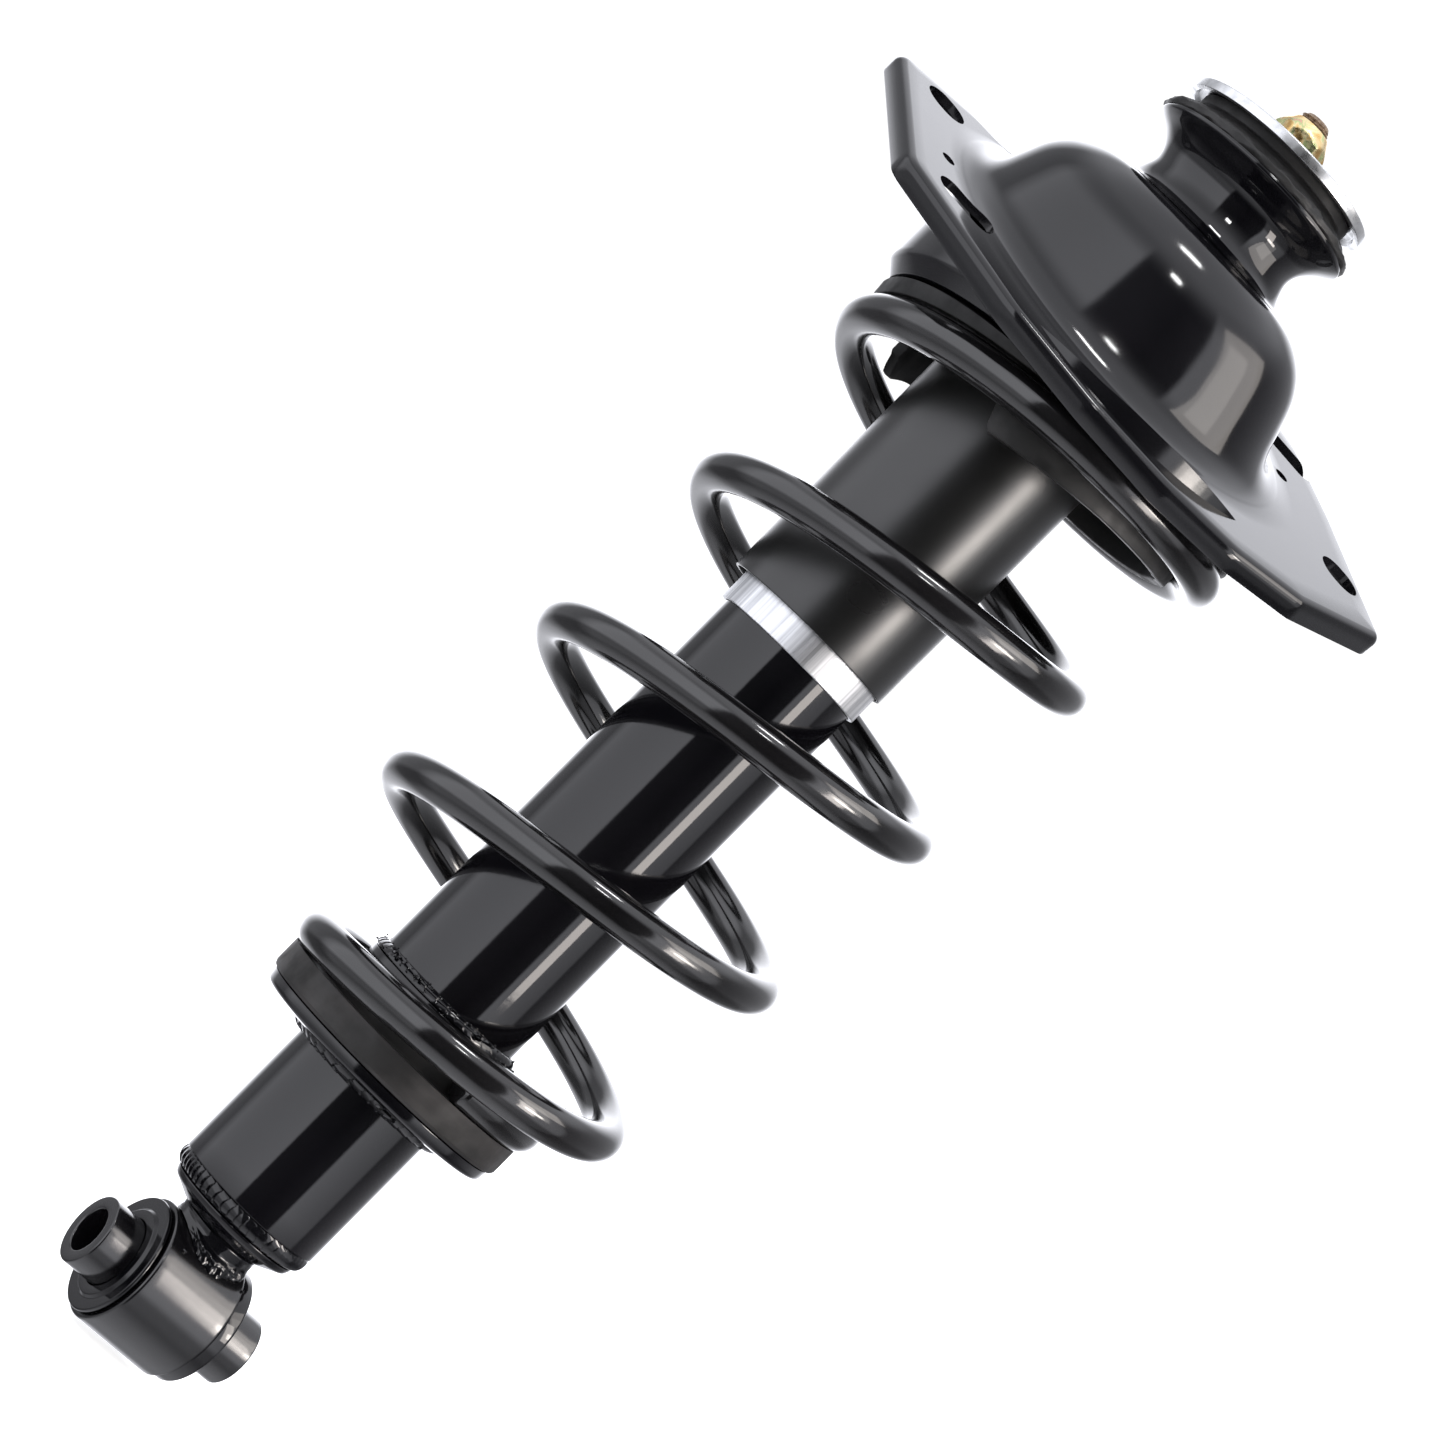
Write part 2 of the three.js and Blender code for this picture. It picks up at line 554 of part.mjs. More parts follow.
addPiece('striker_cap', turned([
  [8.2, CAP.topZ], [CAP.r - 2, CAP.topZ], [CAP.r, CAP.topZ - 2], [CAP.r, CAP.bottomZ],
  [TUBE.r + FIT_GAP, CAP.bottomZ], [TUBE.r + FIT_GAP, CAP.topZ - 1.8], [8.2, CAP.topZ - 1.8],
], LARGE), ZINC);

addPiece('rod_seal', turned([
  [ROD_BORE_R, -138.6], [18, -138.6], [18, -137.2], [13, -136.8], [8.8, -136.8],
  [ROD_BORE_R, -137.6],
], SMALL), RUBBER);

addPiece('rod_guide', turned([
  [ROD_BORE_R, GUIDE.bottomZ], [PRESSURE_TUBE.r - PRESSURE_TUBE.wall - FIT_GAP, GUIDE.bottomZ],
  [PRESSURE_TUBE.r - PRESSURE_TUBE.wall - FIT_GAP, GUIDE.bottomZ + 9],
  [TUBE.r - TUBE.wall - FIT_GAP, GUIDE.bottomZ + 9],
  [TUBE.r - TUBE.wall - FIT_GAP, GUIDE.topZ], [ROD_BORE_R, GUIDE.topZ],
], MEDIUM), SINTERED);

addPiece('pressure_tube', ring(PRESSURE_TUBE.r - PRESSURE_TUBE.wall, PRESSURE_TUBE.r,
  PRESSURE_TUBE.bottomZ, GUIDE.bottomZ + 8.7, MEDIUM), BARE_STEEL);

addPiece('base_valve', turned([
  [0, -394.6], [5, -394.6], [9, -394.6], [17.5, -389.6], [17.5, -384.3], [14.2, -384.3],
  [14.2, -380.2], [2.4, -380.2], [2.4, -377.4], [0, -377.4],
], SMALL), SINTERED);
addPiece('base_valve_disc', ring(2.8, 11.5, -379.9, -379.1, SMALL), BARE_STEEL);
addPiece('base_valve_spring', turned([
  [2.8, -378.8], [9.5, -378.8], [9.5, -378.2], [5, -376.4], [2.8, -376.4],
], SMALL), BARE_STEEL);

addPiece('base_weld', ring(20, 26.4, BASE_WELD_Z, TUBE.bottomZ - FIT_GAP, LARGE), GLOSS_BLACK);
addPiece('base_cap', turned([
  [0, -395.6], [10, -395.6], [16, -397.6], [19.7, -398.6], [19.7, BASE_WELD_Z - FIT_GAP],
  [25.4, BASE_WELD_Z - FIT_GAP], [23.4, -408.4], [STEM_R + 1.6, -411.6], [0, -411.6],
], LARGE), GLOSS_BLACK);

// ---- lower spring seat and isolator -----------------------------------------------------------

addPiece('lower_spring_seat', turned([
  [TUBE.r + FIT_GAP, -344.6], [42, -344.6], [LOWER_SEAT.panR - 1.5, -343.4],
  [LOWER_SEAT.panR, -341.6], [LOWER_SEAT.panR, LOWER_SEAT.panZ], [36, LOWER_SEAT.panZ],
  [31.4, -337], [LOWER_SEAT.hubR, -333], [LOWER_SEAT.hubR, LOWER_SEAT.hubTopZ],
  [TUBE.r + FIT_GAP, LOWER_SEAT.hubTopZ],
], LARGE), GLOSS_BLACK);

addPiece('hub_weld', turned([
  [TUBE.r + FIT_GAP, -307], [29, -307.2], [31, -308.8], [31.6, -310.4],
  [31, LOWER_SEAT.hubTopZ + FIT_GAP], [TUBE.r + FIT_GAP, LOWER_SEAT.hubTopZ + FIT_GAP],
], LARGE), GLOSS_BLACK);

addPiece('pan_weld', turned([
  [TUBE.r + FIT_GAP, -344.9], [32.4, -344.9], [31, -346.8], [TUBE.r + FIT_GAP, -348.2],
], LARGE), GLOSS_BLACK);

addPiece('lower_isolator', turned([
  [36.4, -338.4], [37, LOWER_SEAT.panZ + FIT_GAP], [LOWER_SEAT.isolatorR - 0.8, LOWER_SEAT.panZ + FIT_GAP],
  [LOWER_SEAT.isolatorR, -338], [LOWER_SEAT.isolatorR, -330.2],
  [LOWER_SEAT.isolatorR - 0.8, SPRING.bottomZ - SPRING.wireR - 0.4],
  [36.4, SPRING.bottomZ - SPRING.wireR - 0.4], [36.4, LOWER_SEAT.collarTopZ],
  [33.8, LOWER_SEAT.collarTopZ], [33.8, -336.2],
], LARGE), RUBBER);

// ---- lower eye -------------------------------------------------------------------------------------

// Lays a solid made about Z along X, at the eye's centre.
function acrossEye(geometry) {
  return geometry.rotateY(Math.PI / 2).translate(0, 0, EYE.z);
}

function eyeStem() {
  const top = -411.6 - FIT_GAP;
  const stem = turned([[0, EYE.z + 5], [STEM_R, EYE.z + 5], [STEM_R, top], [0, top]], MEDIUM);
  const clear = EYE.ringR + FIT_GAP;
  const barrel = acrossEye(new THREE.CylinderGeometry(clear, clear, 90, LARGE).rotateX(Math.PI / 2));
  return fromManifold(largestBody(toManifold(cut(stem, barrel))));
}

function largestBody(solid) {
  return solid.decompose().sort((a, b) => b.volume() - a.volume())[0];
}
addPiece('eye_stem', eyeStem(), GLOSS_BLACK, strut);

const [ringLow, ringHigh] = EYE.ringEnds;
const ringInnerR = EYE.ringR - EYE.ringWall;
addPiece('eye_ring', acrossEye(turned([
  [ringInnerR, ringLow], [EYE.ringR - 0.8, ringLow], [EYE.ringR, ringLow + 0.8],
  [EYE.ringR, ringHigh - 0.8], [EYE.ringR - 0.8, ringHigh], [ringInnerR, ringHigh],
], LARGE)), GLOSS_BLACK, strut);

// Bush with a wide flange over each end of the ring and a low boss round the sleeve.
function eyeBush() {
  const { flangeR, flangeFaces } = EYE;
  const [lowFace, highFace] = flangeFaces;
  const bore = SLEEVE.r + FIT_GAP;
  const core = ringInnerR - FIT_GAP;
  return turned([
    [bore, lowFace - 0.8], [16.4, lowFace - 0.8], [17.4, lowFace + 0.2], [flangeR - 1, lowFace],
    [flangeR, lowFace + 1], [flangeR, ringLow - FIT_GAP], [core, ringLow - FIT_GAP],
    [core, ringHigh + FIT_GAP], [flangeR, ringHigh + FIT_GAP], [flangeR, highFace - 1],
    [flangeR - 1, highFace], [17.4, highFace - 0.2], [16.4, highFace + 0.8], [bore, highFace + 0.8],
  ], MEDIUM);
}
addPiece('eye_bush', acrossEye(eyeBush()), GLOSS_BLACK, strut);

const halfSleeve = SLEEVE.length / 2;
addPiece('eye_sleeve', acrossEye(turned([
  [SLEEVE.bore, -halfSleeve], [SLEEVE.r - 0.6, -halfSleeve], [SLEEVE.r, -halfSleeve + 0.6],
  [SLEEVE.r, halfSleeve - 0.6], [SLEEVE.r - 0.6, halfSleeve], [SLEEVE.bore, halfSleeve],
], MEDIUM)), GLOSS_BLACK, strut);

export default strut;
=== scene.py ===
"""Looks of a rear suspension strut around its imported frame: fine meshes, materials, light, camera.

Shapes are made in millimetres and turned into metres by new_piece(). Z runs up along the piston
rod. The upper mount, the spring and the damper are made in mount axes, which are the frame's axes
turned by MOUNT_CLOCKING about Z; the lower eye lies along the frame's own X.
"""
import json
import math
import random

import bmesh
import bpy
import numpy as np
from mathutils import Matrix, Vector, noise


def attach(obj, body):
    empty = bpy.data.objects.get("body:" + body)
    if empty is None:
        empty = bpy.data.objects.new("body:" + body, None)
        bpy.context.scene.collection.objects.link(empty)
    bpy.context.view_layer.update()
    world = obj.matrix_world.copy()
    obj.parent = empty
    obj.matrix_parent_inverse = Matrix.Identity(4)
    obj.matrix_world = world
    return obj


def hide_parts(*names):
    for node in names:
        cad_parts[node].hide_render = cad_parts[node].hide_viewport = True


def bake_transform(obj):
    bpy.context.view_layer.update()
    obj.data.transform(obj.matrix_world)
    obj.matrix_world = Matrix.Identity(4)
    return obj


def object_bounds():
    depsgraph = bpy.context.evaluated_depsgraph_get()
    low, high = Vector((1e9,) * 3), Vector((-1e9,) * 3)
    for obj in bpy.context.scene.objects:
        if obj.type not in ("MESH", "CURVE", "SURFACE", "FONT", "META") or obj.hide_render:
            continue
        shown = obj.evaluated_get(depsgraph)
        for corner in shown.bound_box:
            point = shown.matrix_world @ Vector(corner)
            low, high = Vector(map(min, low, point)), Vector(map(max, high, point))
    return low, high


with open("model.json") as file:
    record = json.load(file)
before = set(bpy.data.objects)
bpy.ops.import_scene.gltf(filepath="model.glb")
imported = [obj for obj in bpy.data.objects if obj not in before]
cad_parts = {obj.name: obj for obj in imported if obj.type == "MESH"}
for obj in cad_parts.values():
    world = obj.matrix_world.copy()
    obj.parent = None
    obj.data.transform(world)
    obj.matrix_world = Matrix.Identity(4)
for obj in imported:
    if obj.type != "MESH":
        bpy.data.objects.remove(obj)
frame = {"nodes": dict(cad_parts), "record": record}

cad_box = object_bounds()

# ---- driving values -----------------------------------------------------------------

MM = 0.001
MOUNT_CLOCKING = -27.0
FINE = 160                     # facets round a large turned piece
MIDDLE = 96
SMALL = 48
SMOOTH_ANGLE = 32.0            # edges sharper than this stay crisp

FLANGE_TILT = 23.5
FLANGE_ROLL = 4.4
FLANGE_THICK = 3.0
RIM_DEPTH = 8.5
RIM_BEND = 3.4
FLANGE_CORNERS = [
    (-115, 19, 7), (-83, -64, 12), (-27, -86, 24), (12, -91, 20), (45, -89, 20), (76, -78, 20),
    (103, -57, 12), (133, -14, 6), (97, 41, 20), (74, 70, 12), (38, 86, 20), (0, 90, 20),
    (-38, 82, 20), (-58, 60, 14), (-68, 39, 12), (-84, 36.5, 14),
]
BOLT_HOLES = [
    (-90.8, 15.4, 16.5, 15), (108.8, -1.2, 16.5, 15), (-60.3, -51.1, 24, 13), (71.7, 55.6, 24, 13),
    (-75.5, -29.8, 5.4, 5.4), (73.8, 29, 5.4, 5.4),
]
DOME_DEPTH = 0.86              # front to back against left to right, at the dome's foot
DOME_FIRM_R = 62               # the dome keeps its outline inside this radius
DOME_ROOM_R = 79               # room that the dome's foot needs before it is squeezed
# Dome outline as (radius, height, share of the flange's lean, depth against width).
DOME_RINGS = [
    (32, 37, 0.3, 1), (39, 36.7, 0.3, 1), (44.5, 35.6, 0.33, 0.97), (50, 32.6, 0.38, 0.94),
    (54.5, 28.6, 0.45, 0.92), (58.4, 22.8, 0.55, 0.9), (61.6, 14.5, 0.7, 0.88), (64, 8, 0.85, 0.87),
    (66.8, 3.8, 0.95, 0.865), (71, 1.2, 1, 0.86), (77, 0, 1, 0.86),
]

SPRING = {
    "wire": 6.75, "dip": 2.6, "bottom_z": -322.1, "top_z": -41.0, "bottom_r": 45.2, "body_r": 65.2,
    "top_r": 69.2, "start": -63.0, "end": 1936.0, "bottom_x": 1.0, "top_x": 9.0, "lean": 1.6,
}
LEFT_PAD = 5.0                 # extra thickness of the upper isolator on the left
# Lip inside the spring's top turn: its depth by direction in degrees.
LIP_DEPTH = [(-111, 20.5), (-60, 17), (-20, 15.5), (10, 12.5), (90, 12), (120, 18), (157, 25)]

EYE_Z = -439.4
EYE_R = 23.5
EYE_RING = (-18.2, 14.1)       # ends of the eye's ring along the turned axis, which is -X
EYE_FLANGES = (-20.6, 19.6)    # outer faces of the bush's flanges

CAMERA = {
    "distance": 1365.0, "height": -230.9, "side": -0.4, "pitch": 2.0, "roll": 44.73, "lens": 105.38,
}


# ---- mesh helpers -------------------------------------------------------------------

def ease(value, low, high):
    """Smooth step from 0 at low to 1 at high."""
    t = np.clip((np.asarray(value, float) - low) / (high - low), 0, 1)
    return t * t * (3 - 2 * t)


def mesh_object(name, points, faces):
    """An object in the scene from points in mm."""
    mesh = bpy.data.meshes.new(name)
    mesh.from_pydata([tuple(p) for p in np.asarray(points, float) * MM], [], faces)
    made = bpy.data.objects.new(name, mesh)
    bpy.context.scene.collection.objects.link(made)
    return made


def new_piece(name, points, faces, body, slot, look, replaces, turned_with_mount=True):
    """A finished visual piece from points in mm."""
    piece = mesh_object(name, points, faces)
    tidy(piece)
    finish_piece(piece, body, look, replaces, turned_with_mount)


def tidy(piece):
    """Welds doubled vertices, drops faces without area and turns the normals outwards."""
    work = bmesh.new()
    work.from_mesh(piece.data)
    bmesh.ops.remove_doubles(work, verts=work.verts, dist=2e-6)
    bmesh.ops.dissolve_degenerate(work, edges=work.edges, dist=1e-7)
    bmesh.ops.recalc_face_normals(work, faces=work.faces)
    work.to_mesh(piece.data)
    work.free()


def turn_with_mount(piece):
    """From mount axes to the frame's axes."""
    piece.data.transform(Matrix.Rotation(math.radians(MOUNT_CLOCKING), 4, "Z"))


def finish_piece(piece, body, look, replaces, turned_with_mount=True):
    """Smooth shading, a material, the body it rides on and the CAD nodes it stands in for."""
    if turned_with_mount:
        turn_with_mount(piece)
    piece.data.materials.clear()
    piece.data.materials.append(look)
    piece.data.shade_smooth()
    piece.data.set_sharp_from_angle(angle=math.radians(SMOOTH_ANGLE))
    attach(piece, body)
    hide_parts(*replaces)


def filleted(corners, steps=5):
    """Closed outline through corners (r, z) or (r, z, fillet), each fillet drawn as an arc."""
    points = []
    count = len(corners)
    for i, corner in enumerate(corners):
        here = np.array(corner[:2], float)
        fillet = corner[2] if len(corner) > 2 else 0
        before = np.array(corners[i - 1][:2], float) - here
        after = np.array(corners[(i + 1) % count][:2], float) - here
        long_before, long_after = np.hypot(*before), np.hypot(*after)
        if not fillet or long_before < 1e-6 or long_after < 1e-6:
            points.append(here)
            continue
        before, after = before / long_before, after / long_after
        half = math.acos(float(np.clip(before @ after, -1, 1))) / 2
        trim = min(fillet / max(math.tan(half), 1e-6), 0.49 * long_before, 0.49 * long_after)
        for k in range(steps + 1):
            t = k / steps
            enter, leave = here + before * trim, here + after * trim
            points.append((1 - t) ** 2 * enter + 2 * t * (1 - t) * here + t * t * leave)
    return np.array(points)


def curved(points, per_span=6):
    """Open smooth line (Catmull-Rom) through points."""
    knots = np.array(points, float)
    padded = np.vstack([2 * knots[0] - knots[1], knots, 2 * knots[-1] - knots[-2]])
    line = []
    for i in range(1, len(padded) - 2):
        a, b, c, d = padded[i - 1:i + 3]
        for k in range(per_span):
            t = k / per_span
            line.append(0.5 * (2 * b + (c - a) * t + (2 * a - 5 * b + 4 * c - d) * t ** 2
                               + (3 * b - a - 3 * c + d) * t ** 3))
    line.append(knots[-1])
    return np.array(line)


def finer(outline, step):
    """Adds points so that no side of the closed outline is longer than step."""
    result = []
    for a, b in zip(outline, np.roll(outline, -1, 0)):
        parts = max(1, math.ceil(np.hypot(*(b - a)) / step))
        result += [a + (b - a) * k / parts for k in range(parts)]
    return np.array(result)


def grid_faces(rows, columns, wrap_rows=True):
    """Four-sided faces between rows of points; each row is a closed ring."""
    faces = []
    for i in range(rows if wrap_rows else rows - 1):
        for j in range(columns):
            i2, j2 = (i + 1) % rows, (j + 1) % columns
            faces.append((i * columns + j, i * columns + j2, i2 * columns + j2, i2 * columns + j))
    return faces


def revolved(outline, segments=FINE, warp=None):
    """Points and faces of a turned solid. warp(r, z, angle) gives moved r and z."""
    outline = np.asarray(outline, float)
    angles = np.arange(segments) * 2 * math.pi / segments
    radius = np.repeat(outline[:, :1], segments, 1)
    height = np.repeat(outline[:, 1:2], segments, 1)
    around = np.repeat(angles[None, :], len(outline), 0)
    if warp:
        radius, height = warp(radius, height, around)
    points = np.stack([radius * np.cos(around), radius * np.sin(around), height], -1)
    return points.reshape(-1, 3), grid_faces(len(outline), segments)


def merged(*solids):
    """One list of points and faces from several."""
    points, faces, start = [], [], 0
    for some_points, some_faces in solids:
        points.append(np.asarray(some_points, float))
        faces += [tuple(v + start for v in face) for face in some_faces]
        start += len(some_points)
    return np.vstack(points), faces


def moved(solid, offset):
    """The solid, shifted."""
    return solid[0] + np.array(offset, float), solid[1]


def along_eye(solid):
    """Lays a solid turned about Z along X, at the eye's centre."""
    x, y, z = solid[0].T
    return np.stack([z, y, -x + EYE_Z], -1), solid[1]


def droplet(centre, size, seed, squash=0.7):
    """A small lumpy drop, as weld spatter leaves it."""
    rng = random.Random(seed)
    rows, columns = 7, 10
    points = []
    for i in range(rows):
        polar = math.pi * i / (rows - 1)
        for j in range(columns):
            turn = 2 * math.pi * j / columns
            lump = size * (1 + 0.16 * rng.uniform(-1, 1)) if 0 < i < rows - 1 else size
            points.append((lump * math.sin(polar) * math.cos(turn),
                           lump * math.sin(polar) * math.sin(turn),
                           lump * squash * math.cos(polar)))
    return np.array(points) + np.array(centre, float), grid_faces(rows, columns, wrap_rows=False)


# ---- materials ----------------------------------------------------------------------

def set_or_link(links, socket, value):
    """Gives a socket a plain value, or links another node's output to it."""
    if isinstance(value, bpy.types.NodeSocket):
        links.new(value, socket)
    else:
        socket.default_value = value


def map_range(nodes, links, value, ranges):
    """Map Range node; ranges are from low, from high, to low, to high."""
    node = nodes.new("ShaderNodeMapRange")
    for socket, number in zip(("From Min", "From Max", "To Min", "To Max"), ranges):
        node.inputs[socket].default_value = number
    links.new(value, node.inputs["Value"])
    return node


def color_ramp(nodes, links, value, stops):
    """Colour ramp over a value from 0 to 1; stops are (position, colour)."""
    node = nodes.new("ShaderNodeValToRGB")
    elements = node.color_ramp.elements
    while len(elements) < len(stops):
        elements.new(0.5)
    for element, (position, color) in zip(elements, stops):
        element.position = position
        element.color = (*color, 1)
    links.new(value, node.inputs["Fac"])
    return node.outputs["Color"]


class Look:
    """A procedural material: one Principled shader and the nodes that vary it."""

    def __init__(self, name, metallic=0.0, specular=0.5):
        self.material = bpy.data.materials.new(name)
        self.material.use_nodes = True
        self.nodes = self.material.node_tree.nodes
        self.links = self.material.node_tree.links
        self.shader = self.nodes["Principled BSDF"]
        self.shader.inputs["Metallic"].default_value = metallic
        self.shader.inputs["Specular IOR Level"].default_value = specular
        self.place = self.nodes.new("ShaderNodeTexCoord")
        self.height = None

    def stretched(self, scale):
        """The object's coordinates, scaled along each axis."""
        mapping = self.nodes.new("ShaderNodeMapping")
        mapping.inputs["Scale"].default_value = scale
        self.links.new(self.place.outputs["Object"], mapping.inputs["Vector"])
        return mapping.outputs["Vector"]

    def noise(self, scale, detail=3.0, stretch=(1, 1, 1), distortion=0.0):
        node = self.nodes.new("ShaderNodeTexNoise")
        node.inputs["Scale"].default_value = scale
        node.inputs["Detail"].default_value = detail
        node.inputs["Distortion"].default_value = distortion
        self.links.new(self.stretched(stretch), node.inputs["Vector"])
        return node.outputs["Fac"]

    def cells(self, scale, stretch=(1, 1, 1)):
        node = self.nodes.new("ShaderNodeTexVoronoi")
        node.inputs["Scale"].default_value = scale
        self.links.new(self.stretched(stretch), node.inputs["Vector"])
        return node.outputs["Distance"]

    def spread(self, value, *ranges):
        return map_range(self.nodes, self.links, value, ranges).outputs["Result"]

    def ramp(self, value, stops):
        return color_ramp(self.nodes, self.links, value, stops)

    def colour(self, output):
        self.links.new(output, self.shader.inputs["Base Color"])
        return self

    def roughness(self, output):
        self.links.new(output, self.shader.inputs["Roughness"])
        return self

    def bump(self, output, strength, depth_mm):
        """Adds a bump on top of the earlier ones."""
        node = self.nodes.new("ShaderNodeBump")
        node.inputs["Strength"].default_value = strength
        node.inputs["Distance"].default_value = depth_mm * MM
        self.links.new(output, node.inputs["Height"])
        if self.height:
            self.links.new(self.height, node.inputs["Normal"])
        self.height = node.outputs["Normal"]
        self.links.new(self.height, self.shader.inputs["Normal"])
        return self


def paint(name, dark, light, low_rough, high_rough, peel, specular=0.5):
    """Black coating with faint cloudiness, orange peel and a little dust."""
    look = Look(name, specular=specular)
    look.colour(look.ramp(look.noise(14, 4), [(0.3, dark), (0.7, light)]))
    look.roughness(look.spread(look.noise(30, 5), 0.35, 0.7, low_rough, high_rough))
    look.bump(look.noise(420, 2), 0.25, peel)
    look.bump(look.noise(60, 2), 0.2, peel * 2)
    return look.material


def rubber(name, base, dusty, rough):
    """Moulded rubber with dusty patches and a fine grain."""
    look = Look(name, specular=0.4)
    look.colour(look.ramp(look.noise(38, 6, stretch=(1, 1, 2.5)), [(0.42, base), (0.75, dusty)]))
    look.roughness(look.spread(look.noise(120, 4), 0.3, 0.7, *rough))
    look.bump(look.noise(900, 3), 0.4, 0.05)
    look.bump(look.noise(90, 4), 0.35, 0.12)
    return look.material


def brushed(name, dark, light, rough, stretch, scale=900):
    """Metal with fine lines: stretch is long across the lines and short along them."""
    look = Look(name, metallic=1.0)
    look.colour(look.ramp(look.noise(scale, 2, stretch=stretch), [(0.25, dark), (0.7, light)]))
    look.roughness(look.spread(look.noise(scale * 0.7, 3, stretch=stretch), 0.3, 0.7, *rough))
    look.bump(look.noise(scale, 2, stretch=stretch), 0.2, 0.02)
    return look.material


def passivated(name):
    """Yellow zinc: gold with patches of green and rose."""
    look = Look(name, metallic=1.0)
    look.colour(look.ramp(look.noise(160, 3, distortion=1.2), [
        (0.3, (0.52, 0.30, 0.10)), (0.42, (0.72, 0.50, 0.20)), (0.52, (0.80, 0.66, 0.38)),
        (0.6, (0.46, 0.56, 0.25)), (0.72, (0.70, 0.36, 0.28)),
    ]))
    look.roughness(look.spread(look.noise(500, 4), 0.3, 0.7, 0.18, 0.42))
    look.bump(look.noise(700, 3), 0.25, 0.04)
    return look.material


def porous(name, dark, light, scale, metallic=0.0, rough=(0.6, 0.85), depth=0.15):
    """Dull material with small cells, darker in their middles."""
    look = Look(name, metallic=metallic)
    look.colour(look.ramp(look.cells(scale), [(0.1, dark), (0.6, light)]))
    look.roughness(look.spread(look.noise(scale, 3), 0.3, 0.7, *rough))
    look.bump(look.cells(scale), 0.5, depth)
    return look.material


GLOSS = paint("gloss_black", (0.0015, 0.0015, 0.002), (0.0035, 0.0032, 0.0042), 0.04, 0.09, 0.02)
PRESSED = paint("pressed_gloss_black", (0.002, 0.002, 0.0025), (0.005, 0.0048, 0.006),
                0.07, 0.14, 0.015)
COATED = paint("spring_black", (0.002, 0.002, 0.0022), (0.006, 0.0056, 0.006),
               0.09, 0.17, 0.03, 0.75)
WELDED = paint("weld_black", (0.0015, 0.0015, 0.002), (0.004, 0.004, 0.005), 0.03, 0.09, 0.10)
SATIN = paint("satin_black", (0.003, 0.003, 0.003), (0.005, 0.005, 0.005), 0.27, 0.36, 0.02, 0.7)
RUBBER = rubber("moulded_rubber", (0.004, 0.004, 0.004), (0.016, 0.015, 0.015), (0.4, 0.7))
SEAT_RUBBER = rubber("seat_rubber", (0.008, 0.0074, 0.007), (0.028, 0.025, 0.024), (0.45, 0.75))
TURNED = paint("turned_black", (0.002, 0.002, 0.0025), (0.006, 0.0056, 0.0062), 0.12, 0.2, 0.02, 0.8)
ZINC = brushed("bright_zinc", (0.50, 0.51, 0.52), (0.72, 0.73, 0.74), (0.25, 0.4), (1, 1, 1), 300)
CAP_ZINC = brushed("brushed_zinc", (0.5, 0.51, 0.53), (0.92, 0.93, 0.95), (0.38, 0.55), (1, 1, 0.02))
YELLOW = passivated("yellow_zinc")
STUD = porous("thread_brown", (0.10, 0.06, 0.035), (0.24, 0.17, 0.11), 700, 0.6, (0.4, 0.65), 0.05)
STEEL = brushed("oiled_steel", (0.30, 0.30, 0.30), (0.5, 0.5, 0.49), (0.3, 0.45), (1, 1, 0.1))
CHROME = brushed("ground_chrome", (0.66, 0.66, 0.68), (0.85, 0.85, 0.87), (0.05, 0.12), (1, 1, 6), 200)
SINTERED = porous("sintered_iron", (0.16, 0.155, 0.15), (0.34, 0.33, 0.32), 1400, 0.8)
FOAM = porous("urethane_foam", (0.5, 0.38, 0.18), (0.78, 0.64, 0.36), 900)
BAND = porous("bronze_ptfe", (0.16, 0.09, 0.05), (0.32, 0.2, 0.12), 1800, 0.1, (0.4, 0.6), 0.02)

SLOT_LOOKS = {
    "gloss_black_paint": GLOSS, "spring_coating": COATED, "satin_black": SATIN,
    "black_rubber": RUBBER, "zinc_plate": ZINC, "yellow_zinc": YELLOW, "bare_steel": STEEL,
    "chromed_rod": CHROME, "sintered_iron": SINTERED, "urethane_foam": FOAM, "ptfe_band": BAND,
}


def dress_cad_nodes():
    """Gives each CAD node that stays the finish of its slot in the record."""
    for part in frame["record"]["subparts"]:
        node = frame["nodes"].get(part["node"])
        look = SLOT_LOOKS.get(part.get("material_slot"))
        if node is None or look is None:
            continue
        for material_slot in node.material_slots:
            material_slot.material = look


# ---- upper mount --------------------------------------------------------------------

def flange_rise(x, y):
    """Height of the flange's top plane above a point (x, y)."""
    tilt, roll = math.radians(FLANGE_TILT), math.radians(FLANGE_ROLL)
    return y * math.tan(tilt) - x * math.tan(roll) / math.cos(tilt)


def flange_to_mount(points):
    """From the flange's own axes (u, v, w) to mount axes."""
    turn = Matrix.Rotation(math.radians(FLANGE_TILT), 3, "X") @ Matrix.Rotation(
        math.radians(FLANGE_ROLL), 3, "Y")
    return np.asarray(points, float) @ np.array(turn).T


def flange_outline(count):
    """Evenly spaced points round the flange, with rounded corners."""
    line = finer(filleted(FLANGE_CORNERS, 8), 1.0)
    steps = np.hypot(*(np.roll(line, -1, 0) - line).T)
    along = np.concatenate([[0], np.cumsum(steps)])
    closed_line = np.vstack([line, line[:1]])
    places = np.arange(count) / count * along[-1]
    return np.stack([np.interp(places, along, closed_line[:, k]) for k in (0, 1)], -1)


def inset(outline, distance):
    """The outline moved inwards, across its own direction at each point."""
    ahead, back = np.roll(outline, -2, 0), np.roll(outline, 2, 0)
    tangent = ahead - back
    tangent /= np.hypot(*tangent.T)[:, None]
    inward = np.stack([-tangent[:, 1], tangent[:, 0]], -1)
    middle = outline.mean(0)
    if ((middle - outline) * inward).sum() < 0:
        inward = -inward
    return outline + inward * distance


